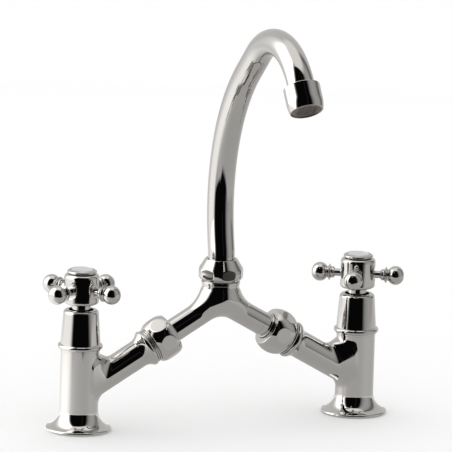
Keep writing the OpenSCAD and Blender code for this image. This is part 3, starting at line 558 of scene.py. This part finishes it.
def pillar_shell():
    planes = [((0, 0, FOOT_SEAM), (0, 0, -1)), ((0, 0, PILLAR_TOP), (0, 0, 1)),
              (along_arm(ARM_SEAM).translation, along_arm(0).to_3x3() @ Vector((0, 0, 1)))]
    whole = carved(pillar_field, low=(-14, -14, FOOT_SEAM - 2), high=(46, 14, PILLAR_TOP + 2),
                   cell=0.5, blur=0.8, planes=planes)
    top = turned([line((PILLAR_R, PILLAR_TOP), (BELL_SEAT_R, PILLAR_TOP))])
    return joined([whole, turned(foot_runs()), top, placed(turned(arm_end_runs()), along_arm(0))])


# Union nuts

NUT_BORE_R, NUT_MOUTH = 9.3, 3
UNION_NUT_FLATS, SPOUT_NUT_FLATS = 28.4, 28.9


def union_nut_shell():
    """Bulge that is part of a sphere, between two flat faces, flattened on six sides."""
    bulge_r, half, face_step, rim, thread_r = 15.25, 8, 0.35, 0.5, 10.5
    edge_angle = math.degrees(math.asin((half - face_step) / bulge_r))
    edge_r = bulge_r * math.cos(math.radians(edge_angle))
    body = smooth(line((thread_r, -half), (edge_r - rim, -half), 0.4),
                  arc((0, 0), bulge_r, -edge_angle, edge_angle, 0.3),
                  line((edge_r - rim, half), (NUT_BORE_R, half), 0.4))
    shell = pressed(turned([body], 288), flats(UNION_NUT_FLATS))
    return joined([shell, turned([line((NUT_BORE_R, half), (NUT_BORE_R, half - NUT_MOUTH))])])


# Bells

def bell_runs():
    """Foot with a bead, tapered side, rounded shoulder and a mouth that widens inwards."""
    low_r, top_r, edge, chamfer = 13.4, 11.9, 2.3, 0.2
    height, bead_at, bead_r = 28, 3.1, 1.75
    inside_r, mouth_r, mouth_h, widened_r, widened_h = 10.95, 8.4, 1.7, 10.2, 3.4
    mid_h = height - edge
    taper = math.degrees(math.atan((low_r - top_r) / (mid_h - bead_at)))
    side = math.radians(taper)
    edge_mid = top_r - edge / math.cos(side)
    shoulder = (edge_mid + edge * math.cos(side), mid_h + edge * math.sin(side))
    return [line((inside_r, 0), (low_r - chamfer, 0)), line((low_r - chamfer, 0), (low_r, chamfer)),
            line((low_r, chamfer), (low_r, bead_at - bead_r)),
            arc((low_r, bead_at), bead_r, -90, 90, 0.2),
            smooth(line((low_r, bead_at + bead_r), shoulder),
                   arc((edge_mid, mid_h), edge, taper, 90, 0.25),
                   line((edge_mid, height), (mouth_r + chamfer, height))),
            smooth(arc((mouth_r + chamfer, height - chamfer), chamfer, 90, 180, 0.05),
                   line((mouth_r, height - chamfer), (mouth_r, height - mouth_h))),
            line((mouth_r, height - mouth_h), (widened_r, height - widened_h))]


# Handles

HUB_FROM, HUB_H, HUB_R = 86.5, 20.5, 11.75
HANDLE_ARMS = 4
ARMS_H = 96
PAD_AT = 11


def press_pads(points):
    """Flattens the hub where its four arms stand on it."""
    points = points.copy()
    pad_r, soft, pad_soft = 4.9, 0.3, 0.15
    for number in range(HANDLE_ARMS):
        angle = math.radians(HANDLE_REST + 360 / HANDLE_ARMS * number)
        out = np.array([math.cos(angle), math.sin(angle), 0])
        side = np.array([-math.sin(angle), math.cos(angle), 0])
        distance = points @ out
        away = np.hypot(points @ side, points[:, 2] - ARMS_H)
        share = np.clip((pad_r + soft / 2 - away) / soft, 0, 1)
        share = share * share * (3 - 2 * share)
        cut_back = distance - smaller(distance, PAD_AT, pad_soft)
        points -= (share * cut_back * (distance > 0))[:, None] * out
    return points


def hub_shell():
    low, top = HUB_FROM, HUB_FROM + HUB_H
    skirt_r, skirt_inside_r, skirt_low = 6.4, 4.3, low - 8.5
    recess_r, recess_low = 8.6, top - 4
    outside = rounded([(skirt_r, low, 0), (HUB_R, low, 2), (HUB_R, top, 2.5), (recess_r, top, 0)],
                      0.25)
    plain = turned([line((skirt_inside_r, skirt_low), (skirt_r, skirt_low)),
                    line((skirt_r, skirt_low), (skirt_r, low)),
                    line((recess_r, top), (recess_r, recess_low))])
    return joined([pressed(turned([outside], 320), press_pads), plain])


def handle_arm_runs():
    """Rod with a small bead, a ring between two hollows, and a bun-shaped ball."""
    rod, bead, ring, hollow, crest = 2.5, 3.5, 5.5, 1.65, 0.35
    bead_at, ring_at, ball_at, ball_r, ball_half, neck = 16.5, 19.2, 25.7, 6.4, 5.6, 3.8
    bead_r = bead - rod
    root, tip_r = 0.9, 0.001
    hollow_mid = ring - crest + hollow * 0.15
    low_mid, high_mid = ring_at - crest - hollow, ring_at + crest + hollow
    bun = ball_r - ball_half
    neck_angle = -math.degrees(math.acos((neck - bun) / ball_half))
    neck_h = ball_at + ball_half * math.sin(math.radians(neck_angle))
    return [smooth(arc((rod + root, PAD_AT + root), root, 270, 180, 0.15),
                   line((rod, PAD_AT + root), (rod, bead_at - bead_r))),
            arc((rod, bead_at), bead_r, -90, 60, 0.12),
            smooth(arc((hollow_mid, low_mid), hollow, 205, 93, 0.12),
                   arc((ring - crest, ring_at), crest, -87, 87, 0.08),
                   arc((hollow_mid, high_mid), hollow, 267, 180, 0.12)),
            line((neck, high_mid), (neck, neck_h)),
            arc((bun, ball_at), ball_half, neck_angle, 90, 0.25),
            line((bun, ball_at + ball_half), (tip_r, ball_at + ball_half))]


def rim_runs():
    low, thick, slope_h, radius = 107.4, 1.8, 0.6, 10
    edge = thick / 2.4
    top = low + thick
    return [line((8.5, low), (radius - edge, low)),
            smooth(arc((radius - edge, low + edge), edge, -90, 0, 0.12),
                   line((radius, low + edge), (radius, top - edge)),
                   arc((radius - edge, top - edge), edge, 0, 80, 0.12)),
            line((radius - edge + 0.13, top), (8.15, top + slope_h)),
            smooth(arc((8.0, top + slope_h - 0.2), 0.25, 60, 180, 0.06),
                   line((7.75, top + slope_h - 0.2), (7.55, top - 0.4)))]


def disc_runs():
    radius, low, edge_h, dome = 7.5, 108.4, 109.8, 0.6
    dome_r = (radius ** 2 + dome ** 2) / 2 / dome
    start = math.degrees(math.acos((radius - 0.25) / dome_r))
    middle = edge_h + dome - dome_r
    rise = middle + dome_r * math.sin(math.radians(start))
    return [line((radius, low), (radius, rise - 0.15)),
            line((radius, rise - 0.15), (radius - 0.25, rise)),
            arc((0, middle), dome_r, start, 90, 0.5)]


def arm_place(side, number):
    turn = math.radians(HANDLE_REST + 360 / HANDLE_ARMS * number)
    return (pillar_frame(side) @ up_at(ARMS_H) @ Matrix.Rotation(turn, 4, "Z")
            @ Matrix.Rotation(math.pi / 2, 4, "Y"))


# Bridge

BRIDGE_ARM_R = 8
BRIDGE_SEAM_T = 34
NECK_WAIST_R, NECK_WAIST_H = 12.5, 10.9


def bridge_field(x, y, z):
    """Two arms with the arch between them, and the neck on a ball, joined with a hollow curve."""
    x = np.abs(x)
    z = z - BRIDGE_H
    across = x * math.sin(SLOPE) + z * math.cos(SLOPE)
    arms = np.hypot(across, y) - BRIDGE_ARM_R
    arch_inner_r = 14
    arch_r = arch_inner_r + BRIDGE_ARM_R
    arch_z = -arch_r / math.cos(SLOPE)
    arch = np.hypot(np.hypot(x, z - arch_z) - arch_r, y) - BRIDGE_ARM_R
    arch = np.maximum(arch, x * math.cos(SLOPE) - (z - arch_z) * math.sin(SLOPE))
    arms = np.minimum(arms, arch)
    ball_r, ball_h, neck_top_h = 12.4, 2, 14
    ball = np.sqrt(x * x + y * y + (z - ball_h) ** 2) - ball_r
    side = math.atan2(NECK_WAIST_R - ball_r, NECK_WAIST_H - ball_h)
    cone = (np.hypot(x, y) - ball_r) * math.cos(side) - (z - ball_h) * math.sin(side)
    neck = np.minimum(ball, np.maximum(cone, np.maximum(ball_h - z, z - neck_top_h)))
    least_r, over_r, under_to_over, fade = 1, 9, 10, 3
    over_arm = np.clip((across + BRIDGE_ARM_R) / under_to_over, 0, 1)
    under_waist = np.clip((NECK_WAIST_H - z) / fade, 0, 1)
    return filleted(neck, arms, least_r + over_r * over_arm * under_waist)


def bridge_shell():
    """The carved heart, with the turned neck above it and a turned end on each arm."""
    along = Vector((math.cos(SLOPE), 0, -math.sin(SLOPE)))
    seam = Vector((BRIDGE_SEAM_T * math.cos(SLOPE), 0, BRIDGE_H - BRIDGE_SEAM_T * math.sin(SLOPE)))
    mirrored = Vector((-seam.x, 0, seam.z)), Vector((-along.x, 0, along.z))
    low = BRIDGE_H + NECK_WAIST_H
    heart = carved(bridge_field, low=(-35, -14, BRIDGE_H - 34), high=(35, 14, BRIDGE_H + 13),
                   cell=0.45, blur=0.85, planes=[(seam, along), mirrored, ((0, 0, low), (0, 0, 1))])
    rim_r, rim_low, rim_top = 13, low + 0.5, low + 2.5
    thread_r, thread_top, seat_r = 11.9, low + 9, 9
    rim = rounded([(NECK_WAIST_R, low, 0), (NECK_WAIST_R, rim_low, 0.05), (rim_r, rim_low, 0.2),
                   (rim_r, rim_top, 0.35), (thread_r, rim_top, 0)])
    neck = turned([rim, line((thread_r, rim_top), (thread_r, thread_top)),
                   line((thread_r, thread_top), (seat_r, thread_top))])
    flange_r, flange_t, collar_r, collar_t, root_t = 10.35, 70.1, 8.9, 72.4, 76.67
    arm_end = rounded([(flange_r, flange_t, 0), (flange_r, collar_t, 0.2), (collar_r, collar_t, 0.1),
                       (collar_r, root_t, 0.5), (BRIDGE_ARM_R + 0.05, root_t, 0)])
    arm = turned([arm_end, line((BRIDGE_ARM_R, root_t), (BRIDGE_ARM_R, ARM_LEN - BRIDGE_SEAM_T))])
    arms = [placed(arm, pillar_frame(side) @ along_arm(0)) for side in SIDES]
    return joined([heart, neck] + arms)


# Spout

def spout_nut_shell():
    """Bulge that is part of a sphere, with cones to both faces, flattened on six sides."""
    low, height, wide_at, wide_r = BRIDGE_H + 13.8, 14.8, 5.2, 15.4
    thread_r, low_r, top_r, lean = 11.95, 12.7, 10.8, math.radians(32)
    lower = meet_cone(wide_r, low_r, -wide_at, (math.sqrt(0.5), math.sqrt(0.5)))
    upper = meet_cone(wide_r, top_r, height - wide_at, (math.sin(lean), -math.cos(lean)))
    outline = smooth(
        rounded([(thread_r, -wide_at, 0), (low_r, -wide_at, 0.3), lower[:2]], 0.3),
        arc((0, 0), wide_r, lower[2], upper[2], 0.3),
        rounded([upper[:2], (top_r, height - wide_at, 0.4), (NUT_BORE_R, height - wide_at, 0)],
                0.3))
    mouth = line((NUT_BORE_R, height - wide_at), (NUT_BORE_R, height - wide_at - NUT_MOUTH))
    shell = joined([pressed(turned([outline], 288), flats(SPOUT_NUT_FLATS)), turned([mouth])])
    return placed(shell, up_at(low + wide_at))


def meet_cone(bulge_r, end_r, end_h, slope):
    """Where a cone that widens from (end_r, end_h) meets the bulge, as radius, height and angle."""
    start, out = np.array([end_r, end_h]), np.array(slope)
    along = start @ out
    point = start + out * (math.sqrt(along * along - start @ start + bulge_r ** 2) - along)
    return point[0], point[1], math.degrees(math.atan2(point[1], point[0]))


def heading(degrees):
    """Direction in reach and height at an angle above the horizontal."""
    return np.array([math.cos(math.radians(degrees)), math.sin(math.radians(degrees))])


TUBE_R = 9


def spout_line():
    """The tube's centre line in reach and height, with its heading, from the nut to the aerator."""
    start, kick_from = BRIDGE_H + 22.92, BRIDGE_H + 29.1
    kick_r, kick = 35, 13
    sweep_r, sweep_to, straight = 131, 42.5, 22.5
    crook_r, crook_to, outlet_len = 49.5, 35.5, 9.5
    rows = [(np.array([0, start]), 90), (np.array([0, kick_from]), 90)]
    kick_mid = np.array([-kick_r, kick_from])
    rows += [(kick_mid + kick_r * heading(a), a + 90) for a in np.linspace(0, kick, 9)[1:]]
    sweep_mid = kick_mid + (kick_r + sweep_r) * heading(kick)
    rows += [(sweep_mid + sweep_r * heading(a), a - 90)
             for a in np.linspace(180 + kick, sweep_to + 90, 61)[1:]]
    crook_mid = rows[-1][0] + straight * heading(sweep_to) + crook_r * heading(sweep_to - 90)
    rows += [(crook_mid + crook_r * heading(a), a - 90)
             for a in np.linspace(sweep_to + 90, crook_to, 61)]
    end, last = rows[-1]
    rows.append((end + outlet_len * heading(last), last))
    return rows


def spout_frame():
    """Frame at the end of the top bend, with +Z along the outlet."""
    end, last = spout_line()[-2]
    tilt = Matrix.Rotation(math.radians(90 - last), 4, "Y")
    return Matrix.Translation((0, -end[0], end[1])) @ Matrix.Rotation(-math.pi / 2, 4, "Z") @ tilt


def tube_shell():
    """Rings of points about the spout's line."""
    rows = spout_line()
    angle = np.linspace(0, 2 * math.pi, 96, endpoint=False)
    points, normals = [], []
    for (reach, height), direction in rows:
        out = heading(direction - 90)
        radial = (np.cos(angle)[:, None] * np.array([1, 0, 0])
                  + np.sin(angle)[:, None] * np.array([0, -out[0], out[1]]))
        points.append(np.array([0, -reach, height]) + TUBE_R * radial)
        normals.append(radial)
    points, normals = np.array(points), np.array(normals)
    points, normals, faces = grid_shell(points, normals, True)
    first, second, third = points[faces[0][:3]]
    turned_in = np.cross(second - first, third - second) @ normals[faces[0][0]] < 0
    return points, normals, faces[:, ::-1] if turned_in else faces


AERATOR_FROM, AERATOR_LEN = 1, 17.5


def aerator_runs():
    """Straight, then drawn in along an arc to the outlet; open round the mesh."""
    tube_r, radius, end_r, taper, inside_r = 9.05, 12.2, 11, 7, 9.95
    joint, edge, mesh_depth = 1, 0.3, 4
    draw = radius - end_r
    arc_r = (taper ** 2 + draw ** 2) / 2 / draw
    straight = AERATOR_LEN - taper
    end_angle = math.degrees(math.asin((taper - edge) / arc_r))
    end_at = radius - arc_r + arc_r * math.cos(math.radians(end_angle))
    return [rounded([(tube_r, 0, 0), (radius, 0, 0.5), (radius, straight - joint, 0)]),
            smooth(line((radius, straight - joint), (radius, straight)),
                   arc((radius - arc_r, straight), arc_r, 0, end_angle, 0.5),
                   rounded([(end_at, AERATOR_LEN - edge, 0), (end_at - 0.05, AERATOR_LEN, 0.25),
                            (inside_r, AERATOR_LEN, 0)])),
            line((inside_r, AERATOR_LEN), (inside_r, AERATOR_LEN - mesh_depth))]


def add_shaped_pieces():
    """The chromed pieces and the enamelled discs, in their finished shapes."""
    pillar, nut, bell = pillar_shell(), union_nut_shell(), turned(bell_runs())
    hub, arm = hub_shell(), turned(handle_arm_runs(), 72)
    rim, disc = turned(rim_runs(), 96), turned(disc_runs(), 96)
    for side in SIDES:
        place = pillar_frame(side)
        handle = f"{side}_handle"
        pieces = {"pillar_body": (pillar, place, "bridge", "chrome"),
                  "bell_cover": (bell, place @ up_at(PILLAR_TOP), "bridge", "chrome"),
                  "union_nut": (nut, place @ along_arm(UNION_T), "bridge", "chrome"),
                  "handle_hub": (hub, place, handle, "chrome"),
                  "index_rim": (rim, place, handle, "chrome"),
                  "index_disc": (disc, place, handle, "white_enamel")}
        for number in range(HANDLE_ARMS):
            pieces[f"handle_arm_{number + 1}"] = (arm, arm_place(side, number), handle, "chrome")
        for name, (shell, where, body, slot) in pieces.items():
            add_piece(f"{side}_{name}", placed(shell, where), body, slot)
    add_piece("bridge_body", bridge_shell(), "bridge", "chrome")
    add_piece("spout_nut", spout_nut_shell(), "bridge", "chrome")
    add_piece("spout_tube", tube_shell(), "spout", "chrome")
    housing = placed(turned(aerator_runs()), spout_frame() @ up_at(AERATOR_FROM))
    add_piece("aerator_housing", housing, "spout", "chrome")


# Camera, light and surroundings

def camera_axes():
    """Directions to the camera, and to the image's right and up, for a camera on the target."""
    cos_e = math.cos(VIEW_ELEVATION)
    back = Vector((-math.sin(VIEW_AZIMUTH) * cos_e, -math.cos(VIEW_AZIMUTH) * cos_e,
                   math.sin(VIEW_ELEVATION)))
    right = Vector((math.cos(VIEW_AZIMUTH), -math.sin(VIEW_AZIMUTH), 0))
    return back, right, back.cross(right)


def add_camera():
    back, right, up = camera_axes()
    cos_r, sin_r = math.cos(VIEW_ROLL), math.sin(VIEW_ROLL)
    rolled_right = right * cos_r + up * sin_r
    rolled_up = up * cos_r - right * sin_r
    off_x = (TARGET_PIXEL[0] - IMAGE_PIXELS / 2) / FOCAL_PIXELS
    off_y = (IMAGE_PIXELS / 2 - TARGET_PIXEL[1]) / FOCAL_PIXELS
    aim = (back + rolled_right * off_x + rolled_up * off_y).normalized()
    side = (rolled_right - aim * rolled_right.dot(aim)).normalized()
    camera = bpy.data.objects.new("camera", bpy.data.cameras.new("camera"))
    camera.data.sensor_width = SENSOR_WIDTH
    camera.data.lens = FOCAL_PIXELS / IMAGE_PIXELS * SENSOR_WIDTH
    camera.data.clip_end = VIEW_END
    place = Matrix((side, aim.cross(side), aim)).transposed().to_4x4()
    place.translation = (Vector((0, 0, VIEW_TARGET_H)) + back * VIEW_DISTANCE) * MM
    camera.matrix_world = place
    bpy.context.scene.collection.objects.link(camera)
    bpy.context.scene.camera = camera


# Tones of the room that the chrome mirrors, by direction in degrees: 0 is towards the camera and
# 90 to the image's right. A white panel stands on the left, a dark opening in front, a grey wall on
# the right and the pale studio behind.
ROOM_TONES = ((-180, 0.68), (-140, 0.72), (-125, 1.1), (-108, 2.6), (-63, 2.6), (-60, 2.2),
              (-57, 1.5), (-52, 0.35), (-47, 0.02), (-44, 0.003), (15, 0.003), (17.5, 0.03),
              (20, 0.003), (41, 0.003), (46, 0.1), (51, 0.23), (57, 0.34), (65, 0.44), (80, 0.5),
              (95, 0.46), (105, 0.38), (111, 0.2), (121, 0.18), (127, 0.4), (134, 0.66),
              (180, 0.68))
# The same for the floor beyond the painted shade: painted light in tones like the room's, brightest to
# the left; only reflections show it
BEYOND_PAINTED_LIGHT_TONES = ((-180, 0.68), (-130, 0.85), (-105, 1.35), (-66, 1.35), (-57, 1.0),
               (-52, 0.35), (-47, 0.02), (-44, 0.003), (41, 0.003), (46, 0.1), (57, 0.34), (80, 0.48),
               (120, 0.45), (180, 0.68))
# The same for the floor round the left pillar: painted shade in grey in front, to the right and behind,
# and painted light to the left; only reflections show it
NEAR_PAINTED_SHADE_AND_LIGHT = ((-180, 0.6), (-140, 1.0), (-118, 1.2), (-95, 1.34), (-84, 1.33), (-70, 1.14),
             (-56, 0.92), (-44, 0.73), (-31, 0.64), (-20, 0.59), (0, 0.54), (40, 0.5), (180, 0.5))
BRIGHTEST = 2.6
# Where the painted shade ends and the painted light beyond it begins, in metres from the origin, each
# time from the start to the end of its soft edge
TABLE_FRONT = (0.25, 0.31)
TABLE_LONGER_FROM = (0.03, 0.07)
TABLE_LONGER_BY = 0.06
TABLE_LEFT = (0.16, 0.5)
TABLE_RIGHT = (0.5, 0.7)
# Where the ceiling starts: as a share of the room's height, and in degrees of steepness in front
CEILING_FROM = (0.86, 0.96)
FRONT_CEILING_FROM = (70.5, 72.5)
CEILING_TONE = 1.05
DOME_R = 1200
# Half of the floor's width, in metres
FLOOR_HALF = 12


def calculated(nodes, links, operation, *values):
    """Math node over values or sockets; returns its result."""
    node = nodes.new("ShaderNodeMath")
    node.operation = operation
    for socket, value in zip(node.inputs, values):
        if isinstance(value, (int, float)):
            socket.default_value = value
        else:
            links.new(value, socket)
    return node.outputs["Value"]


def stepped(nodes, links, value, limits, top=1.0):
    """0 below the first limit and top above the second, with a soft rise between them."""
    node = nodes.new("ShaderNodeMapRange")
    node.interpolation_type = "SMOOTHSTEP"
    node.inputs["From Min"].default_value = limits[0]
    node.inputs["From Max"].default_value = limits[1]
    node.inputs["To Max"].default_value = top
    links.new(value, node.inputs["Value"])
    return node.outputs["Result"]


def toned(nodes, links, place, tones):
    """Tone in the direction of a place, as a share of the brightest."""
    ahead = calculated(nodes, links, "MULTIPLY", place["Y"], -1.0)
    angle = calculated(nodes, links, "ARCTAN2", place["X"], ahead)
    share = calculated(nodes, links, "MULTIPLY_ADD", angle, 0.5 / math.pi, 0.5)
    ramp = nodes.new("ShaderNodeValToRGB")
    elements = ramp.color_ramp.elements
    for degrees, tone in tones[1:-1]:
        elements.new(degrees / 360 + 0.5)
    for element, (degrees, tone) in zip(elements, tones):
        element.color = (*[tone / BRIGHTEST] * 3, 1)
    links.new(share, ramp.inputs["Fac"])
    return ramp.outputs["Color"]


def blended(nodes, links, share, a, b):
    """Mix of two tones, each a socket or a number."""
    node = nodes.new("ShaderNodeMix")
    node.data_type = "RGBA"
    links.new(share, node.inputs["Factor"])
    sockets = [socket for socket in node.inputs if socket.type == "RGBA"]
    for socket, value in zip(sockets, (a, b)):
        if isinstance(value, (int, float)):
            socket.default_value = (value, value, value, 1)
        else:
            links.new(value, socket)
    return [socket for socket in node.outputs if socket.type == "RGBA"][0]


def glow(nodes, links, tone):
    """Warm white light with a tone as its brightness."""
    tint = nodes.new("ShaderNodeMix")
    tint.data_type = "RGBA"
    tint.blend_type = "MULTIPLY"
    tint.inputs["Factor"].default_value = 1
    sockets = [socket for socket in tint.inputs if socket.type == "RGBA"]
    links.new(tone, sockets[0])
    sockets[1].default_value = (1, 0.985, 0.965, 1)
    emission = nodes.new("ShaderNodeEmission")
    emission.inputs["Strength"].default_value = BRIGHTEST
    links.new([socket for socket in tint.outputs if socket.type == "RGBA"][0], emission.inputs["Color"])
    return emission.outputs["Emission"]


def local_place(nodes, links):
    """X, Y and Z of a point in the object's own frame."""
    coordinates = nodes.new("ShaderNodeTexCoord")
    parts = nodes.new("ShaderNodeSeparateXYZ")
    links.new(coordinates.outputs["Object"], parts.inputs["Vector"])
    return parts.outputs


def stage_object(name, mesh, material):
    """Part of the surroundings, turned so that its -Y side faces the camera."""
    mesh.materials.append(material)
    piece = bpy.data.objects.new(name, mesh)
    piece.rotation_euler = (0, 0, -VIEW_AZIMUTH)
    bpy.context.scene.collection.objects.link(piece)
    return piece


def add_dome():
    """Round room that only shows in reflections and lights nothing."""
    material = bpy.data.materials.new("room")
    material.use_nodes = True
    nodes, links = material.node_tree.nodes, material.node_tree.links
    nodes.clear()
    place = local_place(nodes, links)
    height = calculated(nodes, links, "DIVIDE", place["Z"], DOME_R * MM)
    ahead = calculated(nodes, links, "MULTIPLY", place["Y"], -1.0)
    steepness = calculated(nodes, links, "ARCTAN2", place["Z"], ahead)
    front_limits = [math.radians(limit) for limit in FRONT_CEILING_FROM]
    ceiling = calculated(nodes, links, "MINIMUM", stepped(nodes, links, height, CEILING_FROM),
                         stepped(nodes, links, steepness, front_limits))
    tone = blended(nodes, links, ceiling, toned(nodes, links, place, ROOM_TONES),
                   CEILING_TONE / BRIGHTEST)
    output = nodes.new("ShaderNodeOutputMaterial")
    links.new(glow(nodes, links, tone), output.inputs["Surface"])
    points, normals, faces = turned([arc((0, 0), DOME_R, 0, 90, DOME_R / 15)], 96)
    mesh = bpy.data.meshes.new("room")
    mesh.from_pydata((points * MM).tolist(), [], faces.tolist())
    dome = stage_object("room", mesh, material)
    dome.visible_camera = False
    dome.visible_diffuse = False
    dome.visible_transmission = False
    dome.visible_shadow = False


def add_floor():
    """White floor; reflections show it as a glow of painted light and shade, with a sheen: painted
    shade in grey round the pillars, lighter to the left, and painted light in the room's tones beyond
    it.
    """
    material, nodes, links, shader = new_material("floor", (1, 1, 1), 0.9)
    shader.inputs["Specular IOR Level"].default_value = 0.2
    place = local_place(nodes, links)
    back = calculated(nodes, links, "MULTIPLY", place["Y"], -1.0)
    left = calculated(nodes, links, "MULTIPLY", place["X"], -1.0)
    longer = stepped(nodes, links, left, TABLE_LONGER_FROM, TABLE_LONGER_BY)
    beyond = stepped(nodes, links, calculated(nodes, links, "SUBTRACT", back, longer), TABLE_FRONT)
    for value, limits in ((left, TABLE_LEFT), (place["X"], TABLE_RIGHT)):
        beyond = calculated(nodes, links, "MAXIMUM", beyond, stepped(nodes, links, value, limits))
    from_pillar = {"X": calculated(nodes, links, "ADD", place["X"],
                                   PILLAR_X * MM * math.cos(VIEW_AZIMUTH)),
                   "Y": calculated(nodes, links, "ADD", place["Y"],
                                   PILLAR_X * MM * math.sin(VIEW_AZIMUTH))}
    # Painted shade and light that only reflections show: grey near the left pillar and lighter to its
    # left, blending into painted light in the room's tones farther out
    tone = blended(nodes, links, beyond, toned(nodes, links, from_pillar, NEAR_PAINTED_SHADE_AND_LIGHT),
                   toned(nodes, links, place, BEYOND_PAINTED_LIGHT_TONES))
    sheen = nodes.new("ShaderNodeBsdfGlossy")
    sheen.inputs["Roughness"].default_value = 0.5
    fresnel = nodes.new("ShaderNodeFresnel")
    fresnel.inputs["IOR"].default_value = 1.45
    near = calculated(nodes, links, "SUBTRACT", 1.0, beyond)
    links.new(calculated(nodes, links, "MULTIPLY", fresnel.outputs["Fac"], near),
              sheen.inputs["Color"])
    # The floor's glow for glossy rays is painted light, with a Fresnel sheen near the pillars
    painted_glow_with_sheen = nodes.new("ShaderNodeAddShader")
    links.new(glow(nodes, links, tone), painted_glow_with_sheen.inputs[0])
    links.new(sheen.outputs["BSDF"], painted_glow_with_sheen.inputs[1])
    path = nodes.new("ShaderNodeLightPath")
    mix = nodes.new("ShaderNodeMixShader")
    links.new(path.outputs["Is Glossy Ray"], mix.inputs["Fac"])
    links.new(shader.outputs["BSDF"], mix.inputs[1])
    links.new(painted_glow_with_sheen.outputs["Shader"], mix.inputs[2])
    links.new(mix.outputs["Shader"], nodes["Material Output"].inputs["Surface"])
    mesh = bpy.data.meshes.new("floor")
    corners = ((-1, -1), (1, -1), (1, 1), (-1, 1))
    mesh.from_pydata([(x * FLOOR_HALF, y * FLOOR_HALF, 0) for x, y in corners], [], [(0, 1, 2, 3)])
    stage_object("floor", mesh, material)


def add_light():
    """Even white light from all round."""
    world = bpy.data.worlds.new("world")
    bpy.context.scene.world = world
    world.use_nodes = True
    shader = world.node_tree.nodes["Background"]
    shader.inputs["Color"].default_value = (1, 1, 1, 1)
    shader.inputs["Strength"].default_value = 1


dress_nodes()
add_shaped_pieces()
add_camera()
add_dome()
add_floor()
add_light()
bpy.context.scene.view_settings.view_transform = "Standard"
